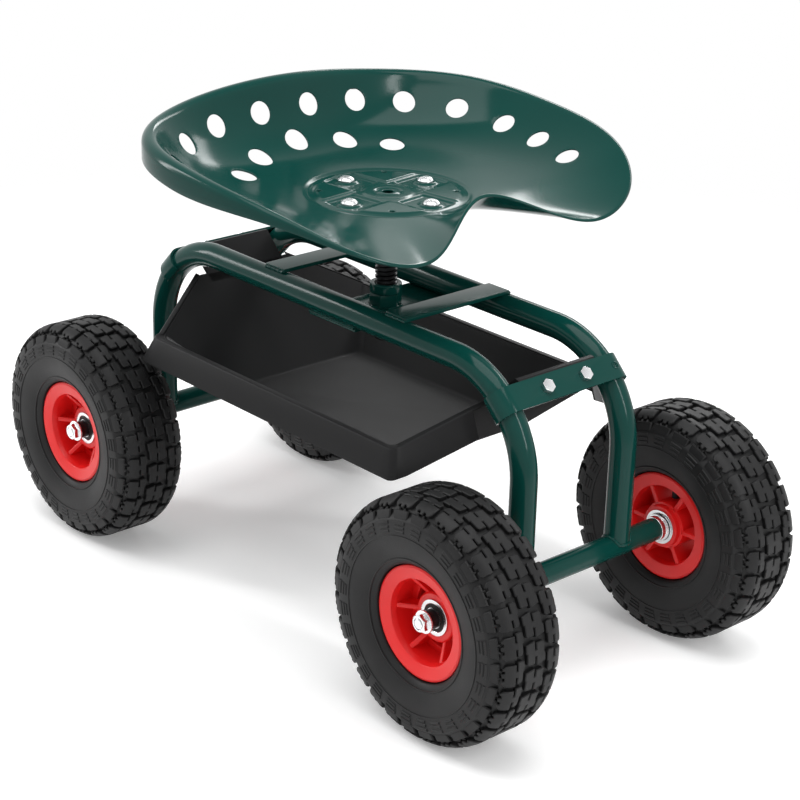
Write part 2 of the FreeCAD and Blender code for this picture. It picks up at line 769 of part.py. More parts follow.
def make_rail(name, side):
    body = doc.addObject("PartDesign::Body", name)
    bend_x = half_base - S.bend_radius
    bend_z = S.rail_height - S.bend_radius
    stops = [
        (half_base, leg_foot),
        (half_base, bend_z),
        (bend_x, S.rail_height),
        (-bend_x, S.rail_height),
        (-half_base, bend_z),
        (-half_base, leg_foot),
    ]
    path = body_sketch(body, f"{name}_path", "XZ_Plane")
    points = [Vector(float(u), float(v), 0) for u, v in stops]
    reach = float(S.bend_radius)
    path.addGeometry(Part.LineSegment(points[0], points[1]), False)
    front_centre = Vector(float(bend_x), float(bend_z), 0)
    circle = Part.Circle(front_centre, Vector(0, 0, 1), reach)
    path.addGeometry(Part.ArcOfCircle(circle, 0, math.pi / 2), False)
    path.addGeometry(Part.LineSegment(points[2], points[3]), False)
    rear_centre = Vector(-float(bend_x), float(bend_z), 0)
    circle = Part.Circle(rear_centre, Vector(0, 0, 1), reach)
    path.addGeometry(Part.ArcOfCircle(circle, math.pi / 2, math.pi), False)
    path.addGeometry(Part.LineSegment(points[4], points[5]), False)
    for line, end, (u, v) in zip((0, 0, 2, 2, 4, 4), (1, 2, 1, 2, 1, 2), stops):
        pin(path, line, end, u, v)
    path.addConstraint(Sketcher.Constraint("Coincident", 0, 2, 1, 1))
    path.addConstraint(Sketcher.Constraint("Coincident", 1, 2, 2, 1))
    path.addConstraint(Sketcher.Constraint("Coincident", 2, 2, 3, 1))
    path.addConstraint(Sketcher.Constraint("Coincident", 3, 2, 4, 1))
    for arc in (1, 3):
        radius = path.addConstraint(Sketcher.Constraint("Radius", arc, reach))
        path.setExpression(f"Constraints[{radius}]", S.bend_radius.text)
    section = body_sketch(body, f"{name}_section", "XY_Plane")
    bind(section, **{"AttachmentOffset.Base.z": leg_foot})
    section.AttachmentOffset = Placement(Vector(0, 0, float(leg_foot)), Rotation())
    for radius in (S.rail_radius, S.rail_radius - S.rail_wall):
        middle = Vector(float(half_base), 0, 0)
        index = section.addGeometry(Part.Circle(middle, Vector(0, 0, 1), float(radius)), False)
        pin(section, index, 3, half_base, 0)
        held = section.addConstraint(Sketcher.Constraint("Radius", index, float(radius)))
        section.setExpression(f"Constraints[{held}]", radius.text)
    pipe = body.newObject("PartDesign::AdditivePipe", f"{name}_pipe")
    pipe.Profile = section
    pipe.Spine = (path, [f"Edge{number}" for number in range(1, 6)])
    place(body, 0, half_rails * side, 0)
    tools = [
        cylinder(
            f"{name}_cope",
            S.axle_radius,
            S.rail_radius * 4,
            half_base * along,
            half_rails * side - S.rail_radius * 2,
            axle_height,
            ALONG_Y,
        )
        for along in (1, -1)
    ]
    return cut(f"{name}_coped", body, *tools)


for label, side in (("side_rail_right", -1), ("side_rail_left", 1)):
    keep(make_rail(f"{label}_body", side), label)

# Cross bars on top of the rails, seat plate under them, nut and collar on the plate.
rail_top = S.rail_height + S.rail_radius
rail_under = S.rail_height - S.rail_radius
post_x = S.post_shift
for end, along in (("front", 1), ("rear", -1)):
    bar = box(
        f"bar_{end}",
        S.bar_width,
        S.rail_spread + S.bar_overhang * 2,
        S.bar_thick,
        post_x + S.bar_reach * along,
        0,
        rail_top,
    )
    keep(bar, f"cross_bar_{end}")

plate = box(
    "plate_blank",
    S.plate_width,
    S.rail_spread + S.plate_overhang * 2,
    S.plate_thick,
    post_x,
    0,
    rail_under - S.plate_thick,
)
screw_bore = S.screw_radius + S.screw_gap
plate_hole = cylinder(
    "plate_hole", screw_bore, S.plate_thick * 3, post_x, 0, rail_under - S.plate_thick * 2
)
keep(cut("plate_pierced", plate, plate_hole), "seat_plate")

nut = hexagon("nut_blank", S.nut_flats, S.nut_height, post_x, 0, rail_under)
nut_bore = cylinder("nut_bore", screw_bore, S.nut_height, post_x, 0, rail_under)
keep(cut("nut_bored", nut, nut_bore), "height_nut")

collar_foot = rail_under + S.nut_height + S.collar_lift
keep(
    ring("collar", S.collar_radius, screw_bore, S.collar_height, post_x, 0, collar_foot),
    "thread_collar",
)

# End straps, in a frame of their own: x is square to the strap, y across the rails, z along them.
strap_foot = S.rail_radius + S.strap_gap
strap_face = strap_foot + S.strap_thick
bend_x45 = half_base - S.bend_radius * (1 - HALF_ROOT)
bend_z45 = S.rail_height - S.bend_radius * (1 - HALF_ROOT)
LEAN_FRONT = Rotation(Vector(0, 1, 0), -45)
LEAN_REAR = HALF_TURN.multiply(LEAN_FRONT)
ENDS = (("front", 1, LEAN_FRONT), ("rear", -1, LEAN_REAR))
half_bolts = S.tray_bolt_spread / 2


def at_end(obj, along, lean):
    return place(obj, bend_x45 * along, 0, bend_z45, lean)


def bolt_holes(name, start, length):
    return [
        cylinder(
            f"{name}_hole", S.tray_bolt_radius + S.bolt_hole_gap, length, start, half_bolts * side, 0, ALONG_X
        )
        for side in (-1, 1)
    ]


def make_strap(name):
    flat = box(
        f"{name}_flat", S.strap_thick, S.rail_spread, S.strap_width, strap_foot + S.strap_thick / 2, 0,
        -S.strap_width / 2,
    )
    wraps = []
    for side in (-1, 1):
        arm = cylinder(
            f"{name}_arm", strap_face, S.strap_width, 0, half_rails * side, -S.strap_width / 2,
            Rotation(Vector(0, 0, 1), 0 if side > 0 else -float(S.strap_wrap)),
        )
        bind(arm, Angle=S.strap_wrap)
        if side < 0:
            arm.setExpression("Placement.Rotation.Angle", (-S.strap_wrap).text)
        inside = cylinder(
            f"{name}_inside", strap_foot, S.strap_width, 0, half_rails * side, -S.strap_width / 2
        )
        wraps.append(cut(f"{name}_wrap", arm, inside))
    blank = fuse(f"{name}_blank", flat, *wraps)
    return cut(f"{name}_strap", blank, *bolt_holes(name, 0, S.rail_radius * 3))


for end, along, lean in ENDS:
    keep(at_end(make_strap(f"strap_{end}"), along, lean), f"end_strap_{end}")

# Tray: hopper with walls at 45 degrees, folded edge, flared skirt and a tab at each end.
half_floor_x = S.tray_floor_length / 2
half_floor_y = S.tray_floor_width / 2
wall_run = S.tray_wall * (math.sqrt(2) - 1)
hopper_depth = S.rail_height - S.tray_floor_height


def frustum(name, grow, foot, depth):
    """Hopper solid: floor plus grow on every side, widening by its own height."""
    obj = doc.addObject("Part::Wedge", name)
    bind(
        obj,
        Xmin=-(half_floor_x + grow),
        Xmax=half_floor_x + grow,
        X2min=-(half_floor_x + grow + depth),
        X2max=half_floor_x + grow + depth,
        Ymin=0,
        Ymax=depth,
        Zmin=-(half_floor_y + grow),
        Zmax=half_floor_y + grow,
        Z2min=-(half_floor_y + grow + depth),
        Z2max=half_floor_y + grow + depth,
    )
    return place(obj, 0, 0, foot, Rotation(Vector(1, 0, 0), 90))


side_rise = S.tray_side_height - S.tray_floor_height
shoulder_rise = S.tray_shoulder_height - S.tray_floor_height
side_y = half_floor_y + side_rise
tab_face = strap_foot - S.tab_gap
tab_wall = ((bend_x45 - half_floor_x) - (bend_z45 - S.tray_floor_height)) * HALF_ROOT
tab_top = bend_z45 + (tab_face + tab_wall) * HALF_ROOT

hopper = cut(
    "hopper",
    frustum("hopper_outside", 0, S.tray_floor_height, hopper_depth),
    frustum("hopper_inside", -wall_run, S.tray_floor_height + S.tray_wall, hopper_depth),
)
IN_YZ = Rotation(Vector(1, 1, 1), 120)
half_gable = [
    (side_y * 2, S.tray_floor_height - 5),
    (side_y * 2, S.tray_side_height),
    (side_y, S.tray_side_height),
    (S.tray_shoulder_spread, S.tray_shoulder_height),
    (S.tab_half_width, S.tray_shoulder_height),
    (S.tab_half_width, tab_top),
]
gable_length = S.wheel_base
gable = prism("gable", mirrored(half_gable), IN_YZ, -half_base, 0, 0, (1, 0, 0), gable_length)


def common(name, base, tool):
    obj = doc.addObject("Part::Common", name)
    obj.Base = base
    obj.Tool = tool
    return obj


trimmed = common("hopper_trimmed", hopper, gable)
tray_parts = [trimmed]
side_x = half_floor_x + side_rise
fold_x = side_x + S.tray_fold
fold_y = side_y + S.tray_fold
skirt_x = fold_x + S.tray_flare
skirt_y = fold_y + S.tray_flare
skirt_foot = S.tray_side_height - S.tray_skirt
lip_in = S.tray_wall * 1.5
IN_XZ = Rotation(Vector(1, 0, 0), 90)


def skirt_section(wall, fold, skirt, sign):
    """Folded edge and flared skirt, outward of a wall that tops out at this distance."""
    return [
        ((wall - lip_in) * sign, S.tray_side_height - S.tray_wall),
        ((fold - S.tray_wall) * sign, S.tray_side_height - S.tray_wall),
        ((skirt - S.tray_wall) * sign, skirt_foot),
        (skirt * sign, skirt_foot),
        (fold * sign, S.tray_side_height),
        ((wall - lip_in) * sign, S.tray_side_height),
    ]


side_mitre = [(skirt_x, skirt_foot), (fold_x, S.tray_side_height)]
end_mitre = [
    (skirt_y, skirt_foot),
    (fold_y, S.tray_side_height),
    (fold_y, S.rail_height),
    (S.tray_shoulder_spread, S.rail_height),
]
slope_run = side_y - S.tray_shoulder_spread
shoulder_climb = S.tray_shoulder_height - S.tray_side_height
lead = S.tray_fold + S.tray_flare
lead_drop = lead * (shoulder_climb / slope_run)
climb = Size(
    math.sqrt(2 * float(shoulder_climb) ** 2 + float(slope_run) ** 2),
    f"sqrt(2 * {shoulder_climb.text}^2 + {slope_run.text}^2)",
)
for side in (-1, 1):
    edge = prism(
        f"tray_side_edge_{side + 1}", skirt_section(side_y, fold_y, skirt_y, side), IN_YZ,
        -skirt_x, 0, 0, (1, 0, 0), skirt_x * 2,
    )
    keeper = prism(
        f"tray_side_mitre_{side + 1}", mirrored(side_mitre), IN_XZ, 0, skirt_y, 0, (0, -1, 0), skirt_y * 2
    )
    tray_parts.append(common(f"tray_side_skirt_{side + 1}", edge, keeper))
for along in (-1, 1):
    for side in (-1, 1):
        edge = prism(
            f"tray_end_edge_{along + 1}_{side + 1}",
            skirt_section(side_x, fold_x, skirt_x, along),
            IN_XZ,
            -lead_drop * along,
            skirt_y * side,
            -lead_drop,
            (shoulder_climb * along, -slope_run * side, shoulder_climb),
            climb * (1 + lead / slope_run),
        )
        half = [(y * side, z) for y, z in end_mitre]
        foot = [(S.tray_shoulder_spread * side, S.tray_floor_height), (skirt_y * side, S.tray_floor_height)]
        keeper = prism(
            f"tray_end_mitre_{along + 1}_{side + 1}", half + foot, IN_YZ,
            -half_base, 0, 0, (1, 0, 0), S.wheel_base,
        )
        tray_parts.append(common(f"tray_end_skirt_{along + 1}_{side + 1}", edge, keeper))
for end, along, lean in ENDS:
    tab_length = tab_wall + S.tab_drop
    tab = box(
        f"tray_tab_{end}", S.tray_wall, S.tab_half_width * 2, tab_length, tab_face - S.tray_wall / 2, 0,
        -S.tab_drop,
    )
    pierced = cut(f"tray_tab_{end}_pierced", tab, *bolt_holes(f"tray_tab_{end}", 0, S.rail_radius * 2))
    tray_parts.append(at_end(pierced, along, lean))
keep(fuse("tray_fused", *tray_parts), "tool_tray")

tab_back = tab_face - S.tray_wall


def both_ends(label, maker):
    pieces = []
    for end, along, lean in ENDS:
        singles = [maker(f"{label}_{end}_{number}", half_bolts * side) for number, side in ((1, -1), (2, 1))]
        pieces.append(at_end(group(f"{label}_{end}", singles), along, lean))
    keep(group(f"{label}_set", pieces), label)


def make_tray_bolt(name, y):
    head = hexagon(f"{name}_head", S.tray_bolt_flats, S.tray_bolt_head, strap_face, y, 0, ALONG_X)
    shank = cylinder(
        f"{name}_shank", S.tray_bolt_radius, S.tray_bolt_length,
        strap_face - S.tray_bolt_length, y, 0, ALONG_X,
    )
    return fuse(name, head, shank)


def make_tray_washer(name, y):
    bore = S.tray_bolt_radius + S.bolt_hole_gap
    return ring(
        name, S.tray_washer_radius, bore, S.tray_washer_thick, tab_back - S.tray_washer_thick, y, 0, ALONG_X
    )


def make_tray_nut(name, y):
    foot = tab_back - S.tray_washer_thick - S.tray_nut_height
    blank = hexagon(f"{name}_blank", S.tray_bolt_flats, S.tray_nut_height, foot, y, 0, ALONG_X)
    bore = cylinder(
        f"{name}_bore", S.tray_bolt_radius + S.fit_gap, S.tray_nut_height, foot, y, 0, ALONG_X
    )
    return cut(name, blank, bore)


both_ends("tray_bolts", make_tray_bolt)
both_ends("tray_washers", make_tray_washer)
both_ends("tray_nuts", make_tray_nut)

# Seat pan. The edge is one smooth closed curve through named places; every upright section through
# the post runs from the round field in the middle out to that edge and turns down into the flange.
EDGE_PLACES = [
    (S.pommel_reach, 0, S.pommel_rise),
    (S.lobe_reach, S.lobe_spread, -S.lobe_drop),
    (S.corner_reach, S.corner_spread, S.corner_rise),
    (S.hip_reach, S.hip_spread, S.hip_rise),
    (0, S.seat_half_width, S.side_rise),
    (-S.quarter_reach, S.quarter_spread, S.quarter_rise),
    (-S.shoulder_reach, S.shoulder_spread, S.shoulder_rise),
    (-S.back_reach, 0, S.back_rise),
]


def edge_curve():
    left = [Vector(float(x), float(y), float(z)) for x, y, z in EDGE_PLACES]
    right = [Vector(p.x, -p.y, p.z) for p in left[-2:0:-1]]
    curve = Part.BSplineCurve()
    curve.interpolate(left + right, PeriodicFlag=True)
    return curve


def edge_point(curve, turn):
    """Point of the edge in the upright half plane at this many degrees from the front."""
    aim = math.radians(turn)
    low = curve.FirstParameter
    high = (curve.FirstParameter + curve.LastParameter) / 2
    while high - low > 1e-9:
        middle = (low + high) / 2
        point = curve.value(middle)
        if math.atan2(point.y, point.x) < aim:
            low = middle
        else:
            high = middle
    return curve.value(low)


def bowl_power(turn):
    """Flat and then steep at the back, an even hollow at the sides and front."""
    back = (1 - math.cos(math.radians(turn))) / 2
    return 2.0 + 4.0 * back ** 3


def bowl_height(share, rise, turn):
    return rise * (0.25 * share + 0.75 * share ** bowl_power(turn))


def rim_blend(turn):
    """0 at the front, where the sheet's edge is nearly bare, to 1 at the sides and back."""
    reach = min(max((abs(turn) - 40) / 60, 0), 1)
    return reach * reach * (3 - 2 * reach)


def between(front, back, turn):
    return float(front) + (float(back) - float(front)) * rim_blend(turn)


bowl_start = float(S.emboss_radius) - 4
bolt_turns = [math.radians(float(S.field_turn) + 90 * step) for step in range(4)]
four_bolts = [(math.cos(turn), math.sin(turn)) for turn in bolt_turns]


def wall_end(curve, turn):
    """Radius, height and lean of the bowl's top face where it passes into the rolled edge."""
    edge = edge_point(curve, abs(turn))
    reach = math.hypot(edge.x, edge.y)
    roll = between(S.front_roll, S.lip_roll, turn)
    lean = 0.0
    for _ in range(8):
        radius = reach - roll - roll * math.sin(lean)
        height = edge.z - roll + roll * math.cos(lean)
        lean = math.atan(height * (0.25 + 0.75 * bowl_power(turn)) / (radius - bowl_start))
    return radius, height, lean


def bowl_place(curve, turn, share):
    """Place on the pan's top face, relative to the pan's middle."""
    end_radius, end_height, _ = wall_end(curve, turn)
    radius = bowl_start + (end_radius - bowl_start) * share
    aim = math.radians(turn)
    return Vector(radius * math.cos(aim), radius * math.sin(aim), bowl_height(share, end_height, turn))


def section_wire(curve, turn):
    """Closed outline of the sheet in the half plane at this turn: top, rolled edge, flange, underside."""
    thick = float(S.pan_thick)
    roll = between(S.front_roll, S.lip_roll, turn)
    fall = between(S.flange_front, S.flange_back, turn)
    end_radius, end_height, lean = wall_end(curve, turn)
    shares = (0, 0.25, 0.5, 0.7, 0.85, 1)
    top = []
    under = []
    for share in shares:
        radius = bowl_start + (end_radius - bowl_start) * share
        height = bowl_height(share, end_height, turn)
        power = bowl_power(turn)
        slope = end_height * (0.25 + 0.75 * power * share ** (power - 1)) / (end_radius - bowl_start)
        tilt = math.atan(slope)
        top.append((radius, height))
        under.append((radius + thick * math.sin(tilt), height - thick * math.cos(tilt)))
    under[0] = (bowl_start, -thick)
    hub_r = end_radius + roll * math.sin(lean)
    hub_z = end_height - roll * math.cos(lean)

    def on_roll(radius, tilt):
        return hub_r + radius * math.cos(tilt), hub_z + radius * math.sin(tilt)

    first = math.pi / 2 + lean
    hollow = roll - thick
    outer = on_roll(roll, 0)
    foot = (outer[0], outer[1] - fall)
    inner_foot = (foot[0] - thick, foot[1])
    aim = math.radians(turn)

    def at(place_rz):
        radius, height = place_rz
        return Vector(radius * math.cos(aim), radius * math.sin(aim), height)

    upper = Part.BSplineCurve()
    upper.interpolate([at(p) for p in top])
    lower = Part.BSplineCurve()
    lower.interpolate([at(p) for p in under])
    edges = [
        upper.toShape(),
        Part.Arc(at(top[-1]), at(on_roll(roll, first / 2)), at(outer)).toShape(),
        Part.LineSegment(at(outer), at(foot)).toShape(),
        Part.LineSegment(at(foot), at(inner_foot)).toShape(),
        Part.LineSegment(at(inner_foot), at(on_roll(hollow, 0))).toShape(),
        Part.Arc(at(on_roll(hollow, 0)), at(on_roll(hollow, first / 2)), at(under[-1])).toShape(),
        lower.toShape(),
        Part.LineSegment(at(under[0]), at(top[0])).toShape(),
    ]
    return Part.Wire(Part.__sortEdges__(edges))


SECTION_TURNS = (-20, -10, 0, 10, 20, 30, 42, 56, 72, 90, 108, 126, 144, 162, 180, 198)


def make_pan():
    curve = edge_curve()
    loft = Part.makeLoft([section_wire(curve, turn) for turn in SECTION_TURNS], True, False)
    size = float(S.seat_half_width) * 4
    left_side = Part.makeBox(size, size, size, Vector(-size / 2, 0, -size / 2))
    left = loft.common(left_side)
    right = left.mirror(Vector(0, 0, 0), Vector(0, 1, 0))
    rise = float(S.emboss_rise)
    field = Part.makeCylinder(
        float(S.emboss_radius), float(S.pan_thick) + 2 * rise, Vector(0, 0, -float(S.pan_thick) - rise)
    )
    pan = left.fuse([right, field])
    tools = []
    for turn in UPPER_HOLE_TURNS:
        share = upper_hole_share(curve, turn)
        tools += [hole_tool(curve, turn * side, share, S.upper_hole_radius) for side in (-1, 1)]
    for turn in LOWER_HOLE_TURNS:
        share = (float(S.lower_hole_ring) - bowl_start) / (wall_end(curve, turn)[0] - bowl_start)
        sides = (1,) if turn == 180 else (-1, 1)
        tools += [hole_tool(curve, turn * side, share, S.lower_hole_radius) for side in sides]
    for x, y in four_bolts:
        spot = Vector(x, y, 0) * float(S.seat_bolt_ring)
        tools.append(
            Part.makeCylinder(float(S.seat_bolt_radius + S.bolt_hole_gap), 40, spot - Vector(0, 0, 20))
        )
    return pan.cut(tools).removeSplitter()


def upper_hole_share(curve, turn):
    """Share of the way to the edge that lies the right distance below it, measured along the wall."""
    forward = min(max((UPPER_HOLE_TURNS[1] - turn) / (UPPER_HOLE_TURNS[1] - UPPER_HOLE_TURNS[-1]), 0), 1)
    inset = float(S.upper_hole_inset) + float(S.front_hole_inset - S.upper_hole_inset) * forward
    share = 1.0
    step = 0.005
    passed = 0.0
    while passed < inset:
        passed += bowl_place(curve, turn, share).distanceToPoint(bowl_place(curve, turn, share - step))
        share -= step
    return share


def hole_tool(curve, turn, share, radius):
    """Cylinder square to the pan at a place given by turn and share of the way to the edge."""
    spot = bowl_place(curve, turn, share)
    outward = bowl_place(curve, turn, share + 0.02) - bowl_place(curve, turn, share - 0.02)
    around = bowl_place(curve, turn + 1, share) - bowl_place(curve, turn - 1, share)
    square = outward.cross(around).normalize()
    return Part.makeCylinder(float(radius), 28, spot - square * 14, square)


pan = doc.addObject("Part::Feature", "pan")
pan.Shape = make_pan()
place(pan, post_x, 0, S.seat_height)
keep(pan, "seat_pan")

# Flange with socket under the pan, screw in the socket, four bolts.
pan_under = S.seat_height - S.pan_thick - S.emboss_rise
field_top = S.seat_height + S.emboss_rise
bracket_foot = pan_under - S.bracket_thick
bracket = fuse(
    "bracket_blank",
    cylinder("bracket_disc", S.bracket_radius, S.bracket_thick, post_x, 0, bracket_foot),
    cylinder(
        "bracket_socket", S.socket_radius, S.socket_depth + S.bracket_thick / 2, post_x, 0,
        bracket_foot - S.socket_depth,
    ),
)
bracket_tools = [
    cylinder(
        "bracket_hole",
        S.seat_bolt_radius + S.bolt_hole_gap,
        S.bracket_thick * 3,
        post_x + S.seat_bolt_ring * x,
        S.seat_bolt_ring * y,
        bracket_foot - S.bracket_thick,
    )
    for x, y in four_bolts
]
bracket_tools.append(
    cylinder(
        "bracket_bore", S.screw_radius + S.fit_gap, S.socket_depth, post_x, 0, bracket_foot - S.socket_depth
    )
)
keep(cut("bracket_bored", bracket, *bracket_tools), "seat_bracket")

screw_foot = rail_under - S.screw_drop
screw_length = bracket_foot - S.fit_gap * 4 - screw_foot


def make_screw(name):
    body = doc.addObject("PartDesign::Body", name)
    section = body_sketch(body, f"{name}_section", "XY_Plane")
    section.addGeometry(Part.Circle(Vector(), Vector(0, 0, 1), float(S.screw_radius)), False)
    section.addConstraint(Sketcher.Constraint("Coincident", 0, 3, -1, 1))
    held = section.addConstraint(Sketcher.Constraint("Radius", 0, float(S.screw_radius)))
    section.setExpression(f"Constraints[{held}]", S.screw_radius.text)
    rod = body.newObject("PartDesign::Pad", f"{name}_rod")
    rod.Profile = section
    bind(rod, Length=screw_length)
    doc.recompute()
    plain = rod.Shape.Volume
    root = S.screw_radius - S.thread_depth
    mouth = S.screw_radius + S.screw_gap
    groove = body_sketch(body, f"{name}_groove", "XZ_Plane")
    polygon(
        groove,
        [
            (mouth, -S.thread_pitch * 1.13),
            (root, -S.thread_pitch * 0.94),
            (root, -S.thread_pitch * 0.66),
            (mouth, -S.thread_pitch * 0.47),
        ],
    )
    thread = body.newObject("PartDesign::SubtractiveHelix", f"{name}_thread")
    thread.Profile = groove
    thread.ReferenceAxis = (groove, ["V_Axis"])
    thread.Mode = 0
    bind(thread, Pitch=S.thread_pitch, Height=screw_length - S.socket_depth + S.thread_pitch)
    doc.recompute()
    assert thread.Shape.Volume < plain * 0.95
    return place(body, post_x, 0, screw_foot)


keep(make_screw("screw"), "seat_screw")


def seat_fasteners(label, maker):
    singles = [
        maker(f"{label}_{number}", post_x + S.seat_bolt_ring * x, S.seat_bolt_ring * y)
        for number, (x, y) in enumerate(four_bolts)
    ]
    keep(group(f"{label}_set", singles), label)


def make_seat_bolt(name, x, y):
    head = doc.addObject("Part::Cone", f"{name}_head")
    crown = S.seat_bolt_head_radius * 0.6
    bind(head, Radius1=S.seat_bolt_head_radius, Radius2=crown, Height=S.seat_bolt_head)
    place(head, x, y, field_top)
    shank = cylinder(
        f"{name}_shank", S.seat_bolt_radius, S.seat_bolt_length, x, y, field_top - S.seat_bolt_length
    )
    return fuse(name, head, shank)


def make_seat_washer(name, x, y):
    bore = S.seat_bolt_radius + S.bolt_hole_gap
    return ring(
        name, S.tray_washer_radius, bore, S.tray_washer_thick, x, y, bracket_foot - S.tray_washer_thick
    )


def make_seat_nut(name, x, y):
    foot = bracket_foot - S.tray_washer_thick - S.tray_nut_height
    blank = hexagon(f"{name}_blank", S.tray_bolt_flats, S.tray_nut_height, x, y, foot)
    bore = cylinder(f"{name}_bore", S.seat_bolt_radius + S.fit_gap, S.tray_nut_height, x, y, foot)
    return cut(name, blank, bore)


seat_fasteners("seat_bolts", make_seat_bolt)
seat_fasteners("seat_washers", make_seat_washer)
seat_fasteners("seat_nuts", make_seat_nut)

doc.recompute()
failed = [obj.Name for obj in doc.Objects if {"Invalid", "Error"} & set(obj.State)]
failed += [obj.Label for obj in nodes if obj.Shape.isNull() or not obj.Shape.isValid()]
if failed:
    raise RuntimeError(f"not built: {failed}")
os.makedirs("parts", exist_ok=True)
for obj in nodes:
    obj.Shape.exportStep(f"parts/{obj.Label}.step")
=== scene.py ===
import math
from functools import lru_cache

import bmesh
import bpy
import numpy as np
from mathutils import Matrix, Vector


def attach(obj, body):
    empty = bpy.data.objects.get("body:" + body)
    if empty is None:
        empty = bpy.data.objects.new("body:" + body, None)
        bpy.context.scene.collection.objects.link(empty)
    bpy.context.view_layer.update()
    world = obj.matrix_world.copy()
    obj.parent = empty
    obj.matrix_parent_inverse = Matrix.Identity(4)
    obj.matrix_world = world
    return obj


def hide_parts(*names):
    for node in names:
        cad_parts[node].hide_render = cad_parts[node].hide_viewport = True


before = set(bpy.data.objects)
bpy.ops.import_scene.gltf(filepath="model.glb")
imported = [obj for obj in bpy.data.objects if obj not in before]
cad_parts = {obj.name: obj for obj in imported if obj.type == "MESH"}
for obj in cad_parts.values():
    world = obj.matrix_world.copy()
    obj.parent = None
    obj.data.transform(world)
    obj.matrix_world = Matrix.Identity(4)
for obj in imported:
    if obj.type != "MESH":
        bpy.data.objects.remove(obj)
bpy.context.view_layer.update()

# The object is in millimetres, and MM turns them into scene units.
MM = 0.001
HALF_BASE = 302.5
HALF_TRACK = 175.0
AXLE_Z = 128.0
TYRE_R = 128.0
RAIL_Y = 72.0
RAIL_Z = 343.0
RAIL_R = 14.0
BEND_R = 105.0
AXLE_R = 12.5
AXLE_END = 138.5
STRAP = 3.0
BAR_REACH = 100.0
PLATE_TOP = RAIL_Z - RAIL_R
POST_X = 10.0
SEAT_Z = 455.0
CORNERS = {
    "front_right": (1, -1),
    "front_left": (1, 1),
    "rear_right": (-1, -1),
    "rear_left": (-1, 1),
}


# Materials

def add_node(tree, kind, inputs=None, **settings):
    """New node with some of its inputs and settings given."""
    node = tree.nodes.new(kind)
    for name, value in settings.items():
        setattr(node, name, value)
    for name, value in (inputs or {}).items():
        node.inputs[name].default_value = value
    return node


def node_material(name):
    material = bpy.data.materials.new(name)
    material.use_nodes = True
    tree = material.node_tree
    return material, tree, tree.nodes["Principled BSDF"]


def noise(tree, scale, detail):
    """Noise in object coordinates."""
    place = add_node(tree, "ShaderNodeTexCoord")
    field = add_node(tree, "ShaderNodeTexNoise", {"Scale": scale, "Detail": detail})
    tree.links.new(place.outputs["Object"], field.inputs["Vector"])
    return field.outputs["Fac"]


def grain(tree, shader, scale, strength, detail=3.0):
    """Fine bump."""
    bump = add_node(tree, "ShaderNodeBump", {"Strength": strength, "Distance": 0.0004})
    tree.links.new(noise(tree, scale, detail), bump.inputs["Height"])
    tree.links.new(bump.outputs["Normal"], shader.inputs["Normal"])


def mottle(tree, socket, scale, low, high):
    """Slow variation of one shader value between low and high."""
    spread = add_node(
        tree, "ShaderNodeMapRange", {"From Min": 0.3, "From Max": 0.7, "To Min": low, "To Max": high}
    )
    tree.links.new(noise(tree, scale, 4.0), spread.inputs["Value"])
    tree.links.new(spread.outputs["Result"], socket)


def tint(tree, shader, scale, first, second):
    """Slow variation of the colour between two tones."""
    ramp = add_node(tree, "ShaderNodeValToRGB")
    start, stop = ramp.color_ramp.elements
    start.position, stop.position = 0.35, 0.65
    start.color, stop.color = (*first, 1), (*second, 1)
    tree.links.new(noise(tree, scale, 5.0), ramp.inputs["Fac"])
    tree.links.new(ramp.outputs["Color"], shader.inputs["Base Color"])


def powder_coat():
    material, tree, shader = node_material("green_powder_coat")
    grain(tree, shader, 900, 0.03)
    tint(tree, shader, 6, (0.0022, 0.040, 0.033), (0.0026, 0.045, 0.037))
    mottle(tree, shader.inputs["Roughness"], 25, 0.12, 0.16)
    shader.inputs["Specular IOR Level"].default_value = 0.17
    return material


def rubber():
    material, tree, shader = node_material("tyre_rubber")
    grain(tree, shader, 700, 0.25)
    tint(tree, shader, 22, (0.0065, 0.0065, 0.0068), (0.0105, 0.0105, 0.0108))
    mottle(tree, shader.inputs["Roughness"], 18, 0.42, 0.55)
    shader.inputs["Specular IOR Level"].default_value = 0.24
    return material


def red_plastic():
    material, tree, shader = node_material("red_plastic")
    grain(tree, shader, 260, 0.04)
    tint(tree, shader, 9, (0.72, 0.010, 0.010), (0.78, 0.013, 0.013))
    mottle(tree, shader.inputs["Roughness"], 30, 0.28, 0.36)
    shader.inputs["Specular IOR Level"].default_value = 0.35
    return material


def black_plastic():
    """Satin inside and along the rim, dull on the faces that look down."""
    material, tree, shader = node_material("tray_plastic")
    grain(tree, shader, 1500, 0.22, 2.0)
    tint(tree, shader, 5, (0.0140, 0.0140, 0.0145), (0.0170, 0.0170, 0.0175))
    shader.inputs["Specular IOR Level"].default_value = 0.10
    rough = add_node(tree, "ShaderNodeMath", operation="MAXIMUM")
    mottle(tree, rough.inputs[0], 12, 0.34, 0.40)
    facing = add_node(tree, "ShaderNodeNewGeometry")
    parts = add_node(tree, "ShaderNodeSeparateXYZ")
    dull = add_node(
        tree, "ShaderNodeMapRange", {"From Min": -0.45, "From Max": 0.0, "To Min": 1.0, "To Max": 0.0}
    )
    tree.links.new(facing.outputs["True Normal"], parts.inputs["Vector"])
    tree.links.new(parts.outputs["Z"], dull.inputs["Value"])
    tree.links.new(dull.outputs["Result"], rough.inputs[1])
    tree.links.new(rough.outputs["Value"], shader.inputs["Roughness"])
    return material


def plated(name, first, second, rough_low, rough_high):
    material, tree, shader = node_material(name)
    shader.inputs["Metallic"].default_value = 1.0
    grain(tree, shader, 600, 0.06)
    tint(tree, shader, 60, first, second)
    mottle(tree, shader.inputs["Roughness"], 80, rough_low, rough_high)
    return material


